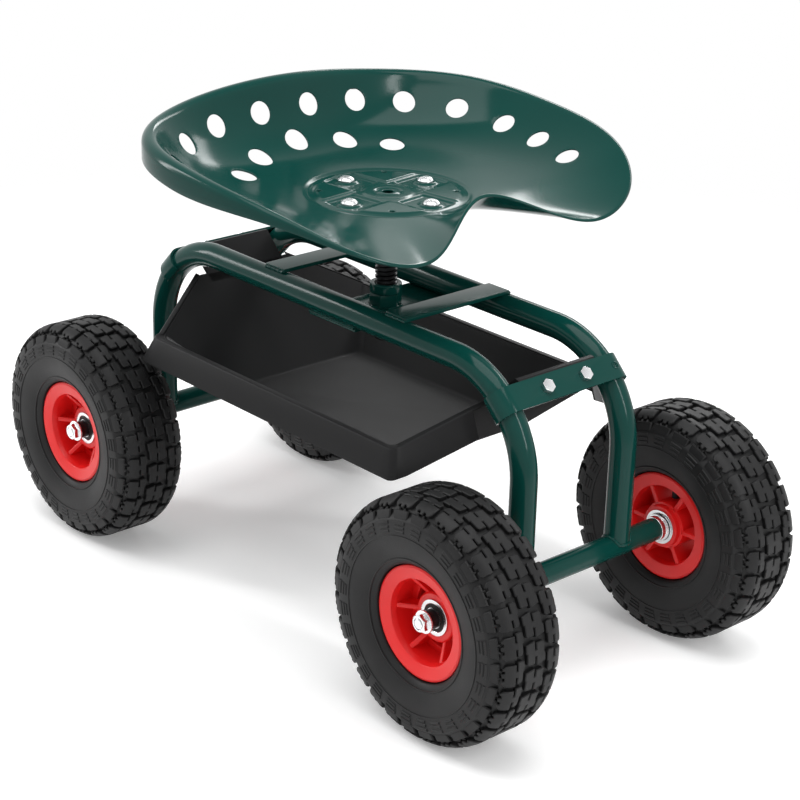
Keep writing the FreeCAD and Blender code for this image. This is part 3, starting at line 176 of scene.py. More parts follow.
GREEN = powder_coat()
RUBBER = rubber()
RED = red_plastic()
TRAY = black_plastic()
ZINC = plated("zinc_plate", (0.72, 0.73, 0.74), (0.82, 0.83, 0.84), 0.18, 0.32)
STEEL = plated("bearing_steel", (0.62, 0.62, 0.63), (0.74, 0.74, 0.75), 0.16, 0.28)
BLACK = plated("black_oxide", (0.030, 0.031, 0.032), (0.045, 0.046, 0.048), 0.28, 0.42)


# Mesh building. A shape is a pair (points in mm, faces as index lists).

def joined(*shapes):
    points, faces = [], []
    for shape_points, shape_faces in shapes:
        start = len(points)
        points += [Vector(p) for p in shape_points]
        faces += [[start + i for i in face] for face in shape_faces]
    return points, faces


def moved(shape, matrix):
    return [matrix @ Vector(p) for p in shape[0]], shape[1]


def arc(first, middle, last, steps):
    """Points of the circular arc through three places of a plane."""
    (ax, ay), (bx, by), (cx, cy) = first, middle, last
    d = 2 * (ax * (by - cy) + bx * (cy - ay) + cx * (ay - by))
    ux = ((ax**2 + ay**2) * (by - cy) + (bx**2 + by**2) * (cy - ay) + (cx**2 + cy**2) * (ay - by)) / d
    uy = ((ax**2 + ay**2) * (cx - bx) + (bx**2 + by**2) * (ax - cx) + (cx**2 + cy**2) * (bx - ax)) / d
    radius = math.hypot(ax - ux, ay - uy)
    a0, a1, a2 = (math.atan2(y - uy, x - ux) for x, y in (first, middle, last))
    sweep = (a2 - a0) % (2 * math.pi)
    if (a1 - a0) % (2 * math.pi) > sweep:
        sweep -= 2 * math.pi
    return [
        (ux + radius * math.cos(a0 + sweep * i / steps), uy + radius * math.sin(a0 + sweep * i / steps))
        for i in range(steps + 1)
    ]


def wrapped(turn):
    """The same turn between minus and plus half a circle."""
    return (turn + math.pi) % (2 * math.pi) - math.pi


def rounded(corners, radius, steps=4, closed=True):
    """Outline with its corners rounded; radius is one number or one for each corner."""
    count = len(corners)
    radii = radius if isinstance(radius, (list, tuple)) else [radius] * count
    points = []
    for i in range(count):
        here = Vector(corners[i])
        if not closed and i in (0, count - 1):
            points.append(tuple(here))
            continue
        back = Vector(corners[i - 1]) - here
        ahead = Vector(corners[(i + 1) % count]) - here
        angle = back.angle(ahead)
        if radii[i] <= 0 or angle > 3.1:
            points.append(tuple(here))
            continue
        reach = min(radii[i] / math.tan(angle / 2), 0.45 * back.length, 0.45 * ahead.length)
        size = reach * math.tan(angle / 2)
        centre = here + (back.normalized() + ahead.normalized()).normalized() * (size / math.sin(angle / 2))
        start = here + back.normalized() * reach
        stop = here + ahead.normalized() * reach
        first = math.atan2(start.y - centre.y, start.x - centre.x)
        sweep = wrapped(math.atan2(stop.y - centre.y, stop.x - centre.x) - first)
        for k in range(steps + 1):
            turn = first + sweep * k / steps
            points.append((centre.x + size * math.cos(turn), centre.y + size * math.sin(turn)))
    return points


def bridged(rings, closed=True, looped=False):
    """Skin over rings of equally many points; the first and the last get an end face or are joined."""
    count = len(rings[0])
    points = [p for ring in rings for p in ring]
    faces = []
    for k in range(len(rings) if looped else len(rings) - 1):
        a, b = k * count, (k + 1) % len(rings) * count
        for i in range(count if closed else count - 1):
            j = (i + 1) % count
            faces.append([a + i, a + j, b + j, b + i])
    if not looped:
        faces.append(list(range(count))[::-1])
        faces.append([len(points) - count + i for i in range(count)])
    return points, faces


def lathe(outline, segments, closed=True):
    """Outline of (along Y, radius) turned about Y."""
    rings = []
    for s in range(segments):
        turn = 2 * math.pi * s / segments
        rings.append([Vector((r * math.sin(turn), y, r * math.cos(turn))) for y, r in outline])
    return bridged(rings, closed, looped=True)


def swept(path, section, closed_path=False):
    """Section (points of a plane) carried along a path in space with little twist."""
    rings = []
    last = len(path) - 1
    side = None
    for i, place in enumerate(path):
        if closed_path:
            ahead = path[(i + 1) % len(path)] - path[i - 1]
        else:
            ahead = path[min(i + 1, last)] - path[max(i - 1, 0)]
        ahead = ahead.normalized()
        if side is None:
            side = ahead.orthogonal().normalized()
        side = (side - ahead * side.dot(ahead)).normalized()
        up = ahead.cross(side)
        rings.append([place + side * u + up * v for u, v in section])
    return bridged(rings, looped=closed_path)


def circle(radius, count):
    return [
        (radius * math.cos(2 * math.pi * k / count), radius * math.sin(2 * math.pi * k / count))
        for k in range(count)
    ]


def hexagon(flats, turn):
    """Reach of a hexagon's edge at this turn; flats is half its width."""
    return flats / math.cos((turn % (math.pi / 3)) - math.pi / 6)


def piece(name, shape, material, body, node=None, sharp=35.0):
    """Shape as a piece of the object; node is the solid that it stands in for."""
    mesh = bpy.data.meshes.new(name)
    mesh.from_pydata([tuple(Vector(p) * MM) for p in shape[0]], [], shape[1])
    finished(name, mesh, material, body, node, sharp)


def finished(name, mesh, material, body, node, sharp):
    """Merges a mesh, turns its faces outwards, shades it and ties it to its body."""
    work = bmesh.new()
    work.from_mesh(mesh)
    bmesh.ops.remove_doubles(work, verts=work.verts, dist=1e-6)
    bmesh.ops.recalc_face_normals(work, faces=work.faces)
    work.to_mesh(mesh)
    work.free()
    mesh.materials.clear()
    mesh.materials.append(material)
    for polygon in mesh.polygons:
        polygon.use_smooth = True
        polygon.material_index = 0
    mesh.set_sharp_from_angle(angle=math.radians(sharp))
    obj = bpy.data.objects.new(name, mesh)
    bpy.context.scene.collection.objects.link(obj)
    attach(obj, body)
    if node:
        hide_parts(node)


# Repeats round an axis, as a Geometry Nodes tree with named inputs.

def radial_repeat_tree():
    tree = bpy.data.node_groups.new("radial_repeat", "GeometryNodeTree")
    tree.is_modifier = True
    sockets = {}
    for label, kind in (
        ("Geometry", "NodeSocketGeometry"),
        ("Count", "NodeSocketInt"),
        ("Step", "NodeSocketVector"),
        ("Material", "NodeSocketMaterial"),
    ):
        sockets[label] = tree.interface.new_socket(label, in_out="INPUT", socket_type=kind).identifier
    tree.interface.new_socket("Geometry", in_out="OUTPUT", socket_type="NodeSocketGeometry")
    make, link = tree.nodes.new, tree.links.new
    inputs = make("NodeGroupInput")
    outputs = make("NodeGroupOutput")
    points = make("GeometryNodePoints")
    index = make("GeometryNodeInputIndex")
    turn = make("ShaderNodeVectorMath")
    turn.operation = "SCALE"
    euler = make("FunctionNodeEulerToRotation")
    place = make("GeometryNodeInstanceOnPoints")
    realize = make("GeometryNodeRealizeInstances")
    paint = make("GeometryNodeSetMaterial")
    link(inputs.outputs["Count"], points.inputs["Count"])
    link(inputs.outputs["Step"], turn.inputs[0])
    link(index.outputs["Index"], turn.inputs["Scale"])
    link(turn.outputs["Vector"], euler.inputs["Euler"])
    link(points.outputs[0], place.inputs["Points"])
    link(inputs.outputs["Geometry"], place.inputs["Instance"])
    link(euler.outputs["Rotation"], place.inputs["Rotation"])
    link(place.outputs["Instances"], realize.inputs["Geometry"])
    link(realize.outputs["Geometry"], paint.inputs["Geometry"])
    link(inputs.outputs["Material"], paint.inputs["Material"])
    link(paint.outputs["Geometry"], outputs.inputs["Geometry"])
    return tree, sockets


REPEAT_TREE, REPEAT_SOCKETS = radial_repeat_tree()


def repeated(shape, count, axis, material):
    """The shape copied count times round an axis through the origin; returns a shape in mm."""
    mesh = bpy.data.meshes.new("repeat_source")
    mesh.from_pydata([tuple(Vector(p)) for p in shape[0]], [], shape[1])
    obj = bpy.data.objects.new("repeat_source", mesh)
    bpy.context.scene.collection.objects.link(obj)
    modifier = obj.modifiers.new("radial_repeat", "NODES")
    modifier.node_group = REPEAT_TREE
    modifier[REPEAT_SOCKETS["Count"]] = count
    modifier[REPEAT_SOCKETS["Step"]] = tuple(Vector(axis) * (2 * math.pi / count))
    modifier[REPEAT_SOCKETS["Material"]] = material
    graph = bpy.context.evaluated_depsgraph_get()
    plain = bpy.data.meshes.new_from_object(obj.evaluated_get(graph))
    obj.modifiers.remove(modifier)
    result = [v.co.copy() for v in plain.vertices], [list(p.vertices) for p in plain.polygons]
    bpy.data.objects.remove(obj)
    bpy.data.meshes.remove(plain)
    bpy.data.meshes.remove(mesh)
    return result


# Tyre: smooth carcass with raised blocks, measured along the profile from the middle of the tread.

TREAD_DEPTH = 4.5
TREAD_END = 46.0
TREAD_FADE = 8.0
TREAD_LEAD = 3.25
BLOCK_HALF = 11.7
BLOCK_LAG = 1.2
PITCHES = 28
PITCH = 2 * math.pi * TYRE_R / PITCHES
PROFILE_STEPS = 48


def tyre_envelope():
    """Outside of the tyre from the middle of the tread to the bead."""
    outline = [(y, TYRE_R) for y in (0, 5, 10, 15)]
    outline += arc((20, TYRE_R), (36, 122.67), (42, 112), 12)
    outline += arc((42, 112), (44, 93.75), (36, 63.5), 14)[1:]
    return outline


ENVELOPE = tyre_envelope()
REACHES = [0.0]
for (y0, r0), (y1, r1) in zip(ENVELOPE, ENVELOPE[1:]):
    REACHES.append(REACHES[-1] + math.hypot(y1 - y0, r1 - r0))


def on_envelope(reach):
    """Place and outward direction on the profile at this distance from the middle of the tread."""
    side = -1 if reach < 0 else 1
    reach = min(abs(reach), REACHES[-1] - 0.01)
    i = max(k for k in range(len(REACHES) - 1) if REACHES[k] <= reach)
    share = (reach - REACHES[i]) / (REACHES[i + 1] - REACHES[i])

    def tangent(k):
        a, b = ENVELOPE[max(k - 1, 0)], ENVELOPE[min(k + 1, len(ENVELOPE) - 1)]
        return Vector((b[0] - a[0], b[1] - a[1])).normalized()

    along = tangent(i).lerp(tangent(i + 1), share)
    if i == 0:
        along = Vector((1, 0))
    y = ENVELOPE[i][0] + (ENVELOPE[i + 1][0] - ENVELOPE[i][0]) * share
    r = ENVELOPE[i][1] + (ENVELOPE[i + 1][1] - ENVELOPE[i][1]) * share
    out = Vector((-along.y, along.x)).normalized()
    return side * y, r, side * out.x, out.y


def groove_depth(reach):
    """Full depth under the tread, fading out on the shoulder."""
    share = min(max((reach - TREAD_END) / TREAD_FADE, 0), 1)
    return TREAD_DEPTH * (1 - share)


def carcass():
    """Tyre without its blocks: grooved outside, beads and a hollow inside."""
    half = []
    for step in range(PROFILE_STEPS + 1):
        reach = REACHES[-1] * step / PROFILE_STEPS
        y, r, ny, nr = on_envelope(reach)
        depth = groove_depth(reach)
        half.append((y - ny * depth, r - nr * depth))
    bead = rounded([half[-1], (33.6, 61.0), (29.5, 60.4), (29.5, 53.0)], [0, 2.5, 1.5, 0], 4, closed=False)
    half += bead[1:]
    outline = [(-y, r) for y, r in half[::-1]] + half[1:]
    outline += [(20.5, 53.0), (20.5, 62.0), (34.0, 92.0), (18.0, 118.0)]
    outline += [(-18.0, 118.0), (-34.0, 92.0), (-20.5, 62.0), (-20.5, 53.0)]
    return lathe(outline, 168)


def block(outline, top, slope=0.8):
    """Raised block from an outline of (along the tread, across it), its top edge softened."""
    count = len(outline)
    area = sum(
        outline[i][0] * outline[(i + 1) % count][1] - outline[(i + 1) % count][0] * outline[i][1]
        for i in range(count)
    )
    if area < 0:
        outline = outline[::-1]
    inner = []
    for i in range(count):
        here = Vector(outline[i])
        before = (here - Vector(outline[i - 1])).normalized()
        after = (Vector(outline[(i + 1) % count]) - here).normalized()
        n0, n1 = Vector((-before.y, before.x)), Vector((-after.y, after.x))
        bisector = n0 + n1
        bisector = bisector / max(bisector.dot(n0), 0.35)
        inner.append(here + bisector * slope)
    work = bmesh.new()
    rings = []
    for points, height in ((outline, -TREAD_DEPTH - 1.0), (outline, top - slope), (inner, top)):
        rings.append([work.verts.new((p[0], p[1], height)) for p in points])
    for low, high in zip(rings, rings[1:]):
        for i in range(count):
            j = (i + 1) % count
            work.faces.new([low[i], low[j], high[j], high[i]])
    work.faces.new(rings[-1])
    us = [v.co.x for v in work.verts]
    vs = [v.co.y for v in work.verts]
    for axis, low, high, step in ((0, min(us), max(us), 7.0), (1, min(vs), max(vs), 5.0)):
        lines = int((high - low) / step)
        for k in range(1, lines + 1):
            at = low + (high - low) * k / (lines + 1)
            place = Vector((at, 0, 0)) if axis == 0 else Vector((0, at, 0))
            normal = Vector((1, 0, 0)) if axis == 0 else Vector((0, 1, 0))
            geometry = work.verts[:] + work.edges[:] + work.faces[:]
            bmesh.ops.bisect_plane(work, geom=geometry, plane_co=place, plane_no=normal)
    work.verts.index_update()
    points = []
    for v in work.verts:
        y, r, ny, nr = on_envelope(v.co.y)
        turn = v.co.x / TYRE_R
        radius = r + nr * v.co.z
        points.append(Vector((radius * math.sin(turn), y + ny * v.co.z, radius * math.cos(turn))))
    faces = [[v.index for v in f.verts] for f in work.faces]
    work.free()
    return points, faces


def middle_block(shift):
    """Two bars side by side, set off from each other along the tread and bridged in the middle."""
    long, lag = BLOCK_HALF, BLOCK_LAG
    half = [
        (-long - lag + 2.0, -12.5), (-2.0, -12.5), (-2.0, -11.0), (long - lag - 2.0, -11.0),
        (long - lag, -9.5), (long - lag, -0.9), (3.4, -0.9), (3.4, 0.9), (long + lag, 0.9),
    ]
    outline = half + [(-u, -v) for u, v in half]
    return block([(u + shift, v) for u, v in outline], 0.0)


def side_block(shift, side):
    """Narrow bar and a larger block with a notched outer edge, bridged in the middle."""
    long, lag = BLOCK_HALF, BLOCK_LAG
    outline = [
        (-long - lag + 2.0, 15.0), (-1.0, 15.0), (-1.0, 16.4), (long - lag - 2.0, 16.4), (long - lag, 18.0),
        (long - lag, 23.4), (3.4, 23.4), (3.4, 25.2), (long + lag, 25.2), (long + lag, 36.2),
        (long + lag - 3.0, 39.6), (6.4, 39.6), (5.4, 37.4), (3.2, 37.4), (2.4, 40.6), (-1.6, 40.6),
        (-2.4, 37.4), (-4.8, 37.4), (-5.6, 39.6), (-long + lag + 3.0, 39.6), (-long + lag, 36.2),
        (-long + lag, 25.2), (-3.4, 25.2), (-3.4, 23.4), (-long - lag, 23.4), (-long - lag, 17.0),
    ]
    return block([(u + shift, v * side) for u, v in outline], 0.0)


def shoulder_lug(shift, side):
    """Low pad below the notched edge, followed by three short bars down the side wall."""
    long = BLOCK_HALF
    pad = [
        (-long, 43.0), (-5.0, 43.0), (-4.6, 40.6), (-2.8, 40.6), (-2.4, 43.0), (2.8, 43.0), (3.4, 40.6),
        (5.2, 40.6), (5.8, 43.0), (long, 43.0), (long - 0.2, 50.5), (long - 1.3, 53.5),
        (1.3 - long, 53.5), (0.2 - long, 50.5),
    ]
    blocks = [block([(u + shift, v * side) for u, v in pad], -0.5, 1.2)]
    for low, high, half in ((54.8, 58.4, 9.2), (59.6, 62.8, 8.8), (63.9, 66.6, 8.2)):
        bar = [(-half, low), (half, low), (half, high), (-half, high)]
        blocks.append(block([(u + shift, v * side) for u, v in bar], 0.9, 0.7))
    return joined(*blocks)


def tread_pitch():
    blocks = [middle_block(TREAD_LEAD + PITCH / 2)]
    for side in (-1, 1):
        blocks.append(side_block(TREAD_LEAD, side))
        blocks.append(shoulder_lug(TREAD_LEAD, side))
    return joined(*blocks)


def sidewall_rings():
    rings = []
    for side in (-1, 1):
        for reach, size in ((70.0, 0.7), (95.5, 1.0)):
            y, r, ny, nr = on_envelope(reach * side)
            rings.append(lathe([(y + ny * 0.1 + u, r + nr * 0.1 + v) for u, v in circle(size, 8)], 120))
    return joined(*rings)


TREAD = repeated(tread_pitch(), PITCHES, (0, 1, 0), RUBBER)
TYRE = joined(carcass(), TREAD, sidewall_rings())


# Rim: barrel with lips, thin sloping ribs, an inner step and the hub. Stations run along the axle, with
# the outside of the wheel at the negative end.

HUB_R = 26.0
HUB_BORE = 17.6
HUB_FACES = ((-12.0, -1), (34.5, 1))  # station, and the way that the face looks
RIB_COUNT = 6
RIB_START = math.radians(30)
RIB_HALF = 2.5
BEARING_R = 17.5
FLANGE_R = 19.0
FLANGE = 1.5
SHIELD_R = 14.6


def rim_shape():
    """Barrel, step, hub and ribs of one wheel."""
    half_barrel = [
        (24.0, 42.8), (30.0, 44.8), (33.0, 57.0), (32.2, 59.5), (29.5, 59.5), (29.5, 52.0), (19.4, 52.0),
        (16.0, 47.0),
    ]
    softness = [4.0, 1.2, 1.0, 1.0, 0.8, 0.8, 0.8, 2.0]
    barrel = rounded([(-y, r) for y, r in half_barrel] + half_barrel[::-1], softness + softness[::-1])
    step = rounded([(-3.0, 35.5), (-3.0, 44.0), (2.0, 44.0), (2.0, 35.5)], 0.8, 3)
    outer, inner = (face for face, _ in HUB_FACES)
    hub = rounded(
        [
            (outer, HUB_BORE), (outer, 24.4), (outer + 1.5, HUB_R), (28, HUB_R), (28, 23), (inner, 23),
            (inner, HUB_BORE),
        ],
        [0.5, 0.8, 0.8, 0.8, 0.8, 0.8, 0.5], 3,
    )
    first_rib = moved(rib_shape(), Matrix.Rotation(RIB_START, 4, "Y"))
    ribs = repeated(first_rib, RIB_COUNT, (0, 1, 0), RED)
    return joined(lathe(barrel, 144), lathe(step, 120), lathe(hub, 96), ribs)


def rib_shape():
    """One rib as a plate in the plane of the axle, its outer edge sloping in towards the hub."""
    side = [(-9.8, 24.5), (-23.8, 44.0), (28.0, 44.0), (28.0, 24.5)]
    edge = 0.7
    rings = []
    for x, inset in ((-RIB_HALF, edge), (edge - RIB_HALF, 0.0), (RIB_HALF - edge, 0.0), (RIB_HALF, edge)):
        rings.append([Vector((x, y + (inset if y < 0 else -inset), r)) for y, r in side])
    return bridged(rings)


def bearing_rings():
    """Flanged outer ring of the bearing on both faces of the hub."""
    rings = []
    for face, out in HUB_FACES:
        outline = [
            (face - 10 * out, 15.4), (face - 10 * out, BEARING_R), (face, BEARING_R), (face, FLANGE_R),
            (face + FLANGE * out, FLANGE_R), (face + FLANGE * out, 15.2), (face + 0.9 * out, SHIELD_R),
            (face, SHIELD_R), (face, 15.4),
        ]
        rings.append(lathe(rounded(outline, [0.4, 0.4, 0, 0.3, 0.6, 0.6, 0, 0, 0], 3), 72))
    return joined(*rings)


def bearing_shields():
    """Dark shields between the outer ring and the inner ring of both bearings."""
    shields = []
    for face, out in HUB_FACES:
        outline = [(face, SHIELD_R), (face + 0.9 * out, SHIELD_R), (face + 1.2 * out, 11.0), (face, 11.0)]
        shields.append(lathe(outline, 64))
    return joined(*shields)


RIM = rim_shape()
RINGS = bearing_rings()
SHIELDS = bearing_shields()


def wheel_matrix(corner):
    """From wheel stations to a corner of the frame."""
    along, side = CORNERS[corner]
    turn = Matrix.Rotation(math.pi, 4, "Z") if side > 0 else Matrix.Identity(4)
    return Matrix.Translation((HALF_BASE * along, HALF_TRACK * side, AXLE_Z)) @ turn


for corner in CORNERS:
    for name, shape, material, slot, node, sharp in (
        (f"tyre_{corner}_tread", TYRE, RUBBER, "tyre_rubber", f"tyre_{corner}", 40),
        (f"rim_{corner}_moulded", RIM, RED, "red_plastic", f"rim_{corner}", 40),
        (f"bearing_rings_{corner}_turned", RINGS, STEEL, "bright_steel", f"bearing_rings_{corner}", 30),
        (f"bearing_shields_{corner}", SHIELDS, RUBBER, "tube_rubber", None, 30),
    ):
        piece(name, moved(shape, wheel_matrix(corner)), material, f"wheel_{corner}", node, sharp)


# Frame tubes and welds

def rail_path(side):
    """Centre line of a side rail, from foot to foot."""
    bend_x, bend_z = HALF_BASE - BEND_R, RAIL_Z - BEND_R
    foot = AXLE_Z + 7.0
    path = [(HALF_BASE, foot), (HALF_BASE, (foot + bend_z) / 2)]
    for k in range(25):
        turn = math.pi / 2 * k / 24
        path.append((bend_x + BEND_R * math.cos(turn), bend_z + BEND_R * math.sin(turn)))
    path = path + [(-x, z) for x, z in path[::-1]]
    return [Vector((x, RAIL_Y * side, z)) for x, z in path]


def weld(path, size, closed=True):
    """Bead of weld along a path, with the ripple of its puddles."""
    sides = 10
    points, faces = swept(path, circle(1.0, sides), closed)
    out = []
    for i, place in enumerate(path):
        swell = size * (1 + 0.16 * math.sin(i * 2.1) + 0.08 * math.sin(i * 5.3))
        out += [place + (p - place) * swell for p in points[i * sides:(i + 1) * sides]]
    return out, faces


def leg_weld(along, side):
    """Where a leg meets the round of the axle tube."""
    path = []
    for k in range(64):
        turn = 2 * math.pi * k / 64
        x, y = RAIL_R * math.cos(turn), RAIL_R * math.sin(turn)
        z = math.sqrt(max(AXLE_R**2 - min(abs(x), AXLE_R * 0.93) ** 2, 0))
        path.append(Vector((HALF_BASE * along + x * 0.98, RAIL_Y * side + y, AXLE_Z + z + 0.4)))
    return weld(path, 1.9)


def bar_weld(x, half, y, z):
    """Bead along the end of a flat bar or plate that lies across a rail."""
    return weld([Vector((x + half * (k / 12 - 1), y, z)) for k in range(25)], 1.7, closed=False)


def nut_weld():
    """Bead round the foot of the hexagon on the seat plate."""
    path = []
    for k in range(72):
        turn = 2 * math.pi * k / 72
        reach = hexagon(15.9, turn)
        path.append(Vector((POST_X + reach * math.sin(turn), reach * math.cos(turn), PLATE_TOP + 0.4)))
    return weld(path, 1.6)


def spot_weld(along):
    """Pitted mark of a spot weld on the crest of a strap, over the left rail."""
    crest = RAIL_R + STRAP + 0.1
    shift = BEND_R * (1 - math.sqrt(0.5)) - crest * math.sqrt(0.5)
    place = Matrix.Translation(((HALF_BASE - shift) * along, RAIL_Y, RAIL_Z - shift))
    lean = Matrix.Rotation(math.radians(45) * along, 4, "Y")
    rings = []
    for radius, size in ((3.4, 0.8), (1.2, 0.6)):
        path = [place @ lean @ Vector((u, v, 0.0)) for u, v in circle(radius, 20)]
        rings.append(weld(path, size))
    return joined(*rings)


for label, side in (("right", -1), ("left", 1)):
    tube = swept(rail_path(side), circle(RAIL_R, 48))
    piece(f"rail_{label}_tube", tube, GREEN, "frame", f"side_rail_{label}")

welds = [leg_weld(along, side) for along in (-1, 1) for side in (-1, 1)]
for side in (-1, 1):
    for reach in (-BAR_REACH, BAR_REACH):
        welds.append(bar_weld(POST_X + reach, 15.0, (RAIL_Y + 2.6) * side, RAIL_Z + RAIL_R + 0.8))
    welds.append(bar_weld(POST_X, 37.0, (RAIL_Y + 4.4) * side, PLATE_TOP - 0.6))
welds.append(nut_weld())
welds += [spot_weld(along) for along in (-1, 1)]
piece("frame_welds", joined(*welds), GREEN, "frame")

AXLE_TUBE = lathe(rounded(
    [(-AXLE_END, AXLE_R - 2), (-AXLE_END, AXLE_R), (AXLE_END, AXLE_R), (AXLE_END, AXLE_R - 2)], 0.6, 3
), 64)
for label, along in (("front", 1), ("rear", -1)):
    tube = moved(AXLE_TUBE, Matrix.Translation((HALF_BASE * along, 0, AXLE_Z)))
    piece(f"axle_{label}_tube", tube, GREEN, "frame", f"axle_tube_{label}")


# Pieces taken over from the solids with softened edges

def softened(node, name, material, body, width):
    """Copy of a solid with its sharp edges rounded over by a width."""
    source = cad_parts[node]
    work = bmesh.new()
    work.from_mesh(source.data)
    bmesh.ops.transform(work, matrix=source.matrix_world, verts=work.verts)
    bmesh.ops.remove_doubles(work, verts=work.verts, dist=2e-5)
    bmesh.ops.dissolve_limit(work, angle_limit=math.radians(0.5), verts=work.verts, edges=work.edges)
    sharp = math.radians(25)
    edges = [e for e in work.edges if len(e.link_faces) == 2 and e.calc_face_angle() > sharp]
    bmesh.ops.bevel(
        work, geom=edges, offset=width * MM, segments=3, profile=0.6, affect="EDGES", clamp_overlap=True
    )
    mesh = bpy.data.meshes.new(name)
    work.to_mesh(mesh)
    work.free()
    finished(name, mesh, material, body, node, 40)


for end in ("front", "rear"):
    softened(f"end_strap_{end}", f"strap_{end}_bent", GREEN, "frame", 0.6)
    softened(f"cross_bar_{end}", f"bar_{end}_flat", GREEN, "frame", 0.8)
softened("seat_plate", "seat_plate_flat", GREEN, "frame", 0.8)
softened("height_nut", "height_nut_hex", GREEN, "frame", 1.0)
softened("thread_collar", "thread_collar_ring", GREEN, "collar", 1.2)
softened("tray_bolts", "tray_bolts_hex", ZINC, "frame", 0.5)
softened("axle_washers", "axle_washers_flat", ZINC, "frame", 0.4)
softened("axle_sleeves", "axle_sleeves_turned", BLACK, "frame", 0.5)


# Tray: hopper with walls that slope at 45 degrees and rounded corners, rim strips with a flared skirt and
# a tab under each strap.

FLOOR_Z = 205.0
FLOOR_HALF_X = 140.0
FLOOR_HALF_Y = 95.0
TRAY_CORNER = 8.0
SIDE_RIM_Z = 264.0
SIDE_RIM_Y = 154.0
SHOULDER_Z = 309.0
SHOULDER_Y = 66.0
SKIRT_END_Y = 84.0
END_CLIMB = (SHOULDER_Z - SIDE_RIM_Z) / (SIDE_RIM_Y - SHOULDER_Y)
WALL_ACROSS = 3.54  # thickness of the sloping wall, measured level
RIM_IN = -3.9
RIM_OUT = 3.5
RIM_THICK = 2.6
SKIRT_OUT = 14.5
SKIRT_DROP = 29.0
TAB_HALF = 54.0
TAB_FOOT = 300.0
TAB_TOP = 334.4
# Middle of a rail's bend, as x and z of the tube's centre line
BEND_45 = (HALF_BASE - BEND_R * (1 - math.sqrt(0.5)), RAIL_Z - BEND_R * (1 - math.sqrt(0.5)))


def tray_stations():
    """One quarter of the way round: share along the end, corner turn in degrees, share along the side."""
    quarter = [("end", 0.0)]
    for y in (SHOULDER_Y, SKIRT_END_Y):
        rise = SIDE_RIM_Z + END_CLIMB * (SIDE_RIM_Y - y) - FLOOR_Z
        quarter.append(("end", y / (FLOOR_HALF_Y + rise - TRAY_CORNER)))
    quarter.append(("end", 1.0))
    quarter += [("corner", 90.0 * k / 8) for k in range(1, 8)]
    return quarter + [("side", 1.0), ("side", 0.0)]


def tray_rim(kind, value):
    """Height of the wall at a station."""
    if kind == "side":
        return SIDE_RIM_Z
    inset, share = TRAY_CORNER, value
    if kind == "corner":
        inset, share = TRAY_CORNER * (1 - math.sin(math.radians(value))), 1.0
    lead = FLOOR_Z - FLOOR_HALF_Y + inset
    climb = END_CLIMB * share
    return min((SIDE_RIM_Z + END_CLIMB * SIDE_RIM_Y + climb * lead) / (1 + climb), SHOULDER_Z)


def tray_place(kind, value, z, out):
    """Place at height z on the outside of the wall, moved outward; in the first quarter."""
    x, y = FLOOR_HALF_X + z - FLOOR_Z, FLOOR_HALF_Y + z - FLOOR_Z
    if kind == "end":
        return Vector((x + out, value * (y - TRAY_CORNER), z))
    if kind == "side":
        return Vector((value * (x - TRAY_CORNER), y + out, z))
    turn = math.radians(value)
    shift = out - TRAY_CORNER
    return Vector((x + shift + TRAY_CORNER * math.cos(turn), y + shift + TRAY_CORNER * math.sin(turn), z))


def hopper():
    """Walls and floor, from the inside over the rim to the outside."""
    rings = []
    for start, z, out in (
        ("floor", 2.5, -6.5), ("floor", 2.8, -4.8), ("floor", 4.2, -WALL_ACROSS),
        ("rim", -1.5, -WALL_ACROSS), ("rim", -1.5, 0.0), ("floor", 1.0, 0.0), ("floor", 0.0, -1.2),
    ):
        quarter = []
        for kind, value in tray_stations():
            height = z + (FLOOR_Z if start == "floor" else tray_rim(kind, value))
            quarter.append(tray_place(kind, value, height, out))
        ring = []
        for along, side, points in (
            (1, 1, quarter), (-1, 1, quarter[::-1]), (-1, -1, quarter), (1, -1, quarter[::-1])
        ):
            ring += [Vector((p.x * along, p.y * side, p.z)) for p in points[:-1]]
        rings.append(ring)
    return bridged(rings)


def tray_edge(corners, softness, stations):
    """Section drawn along the rim through some of the stations, one list of points for each of them."""
    section = rounded(corners, softness)
    run = []
    for kind, value in stations:
        rim = tray_rim(kind, value)
        run.append([tray_place(kind, value, rim, out) + Vector((0, 0, drop)) for out, drop in section])
    return run


def tray_rims():
    """Flared skirt round each long side and, from its ends up to the rails, a plain rim strip."""
    lip = [(RIM_IN, -RIM_THICK), (RIM_IN, 0.0), (RIM_OUT, 0.0)]
    flare = [(SKIRT_OUT, -SKIRT_DROP), (SKIRT_OUT - 2.5, -SKIRT_DROP), (1.6, -RIM_THICK)]
    skirt = tray_edge(lip + flare, [0.4, 1.2, 2.4, 1.0, 0.6, 1.0], tray_stations()[2:])
    skirt = bridged(skirt + [[Vector((-p.x, p.y, p.z)) for p in station] for station in skirt[-2::-1]])
    strip = bridged(tray_edge(lip + [(RIM_OUT, -RIM_THICK)], [0.4, 1.2, 1.2, 0.4], tray_stations()[1:3]))
    shapes = []
    for side in (-1, 1):
        shapes.append(moved(skirt, Matrix.Diagonal((1, side, 1, 1))))
        shapes += [moved(strip, Matrix.Diagonal((along, side, 1, 1))) for along in (-1, 1)]
    return joined(*shapes)


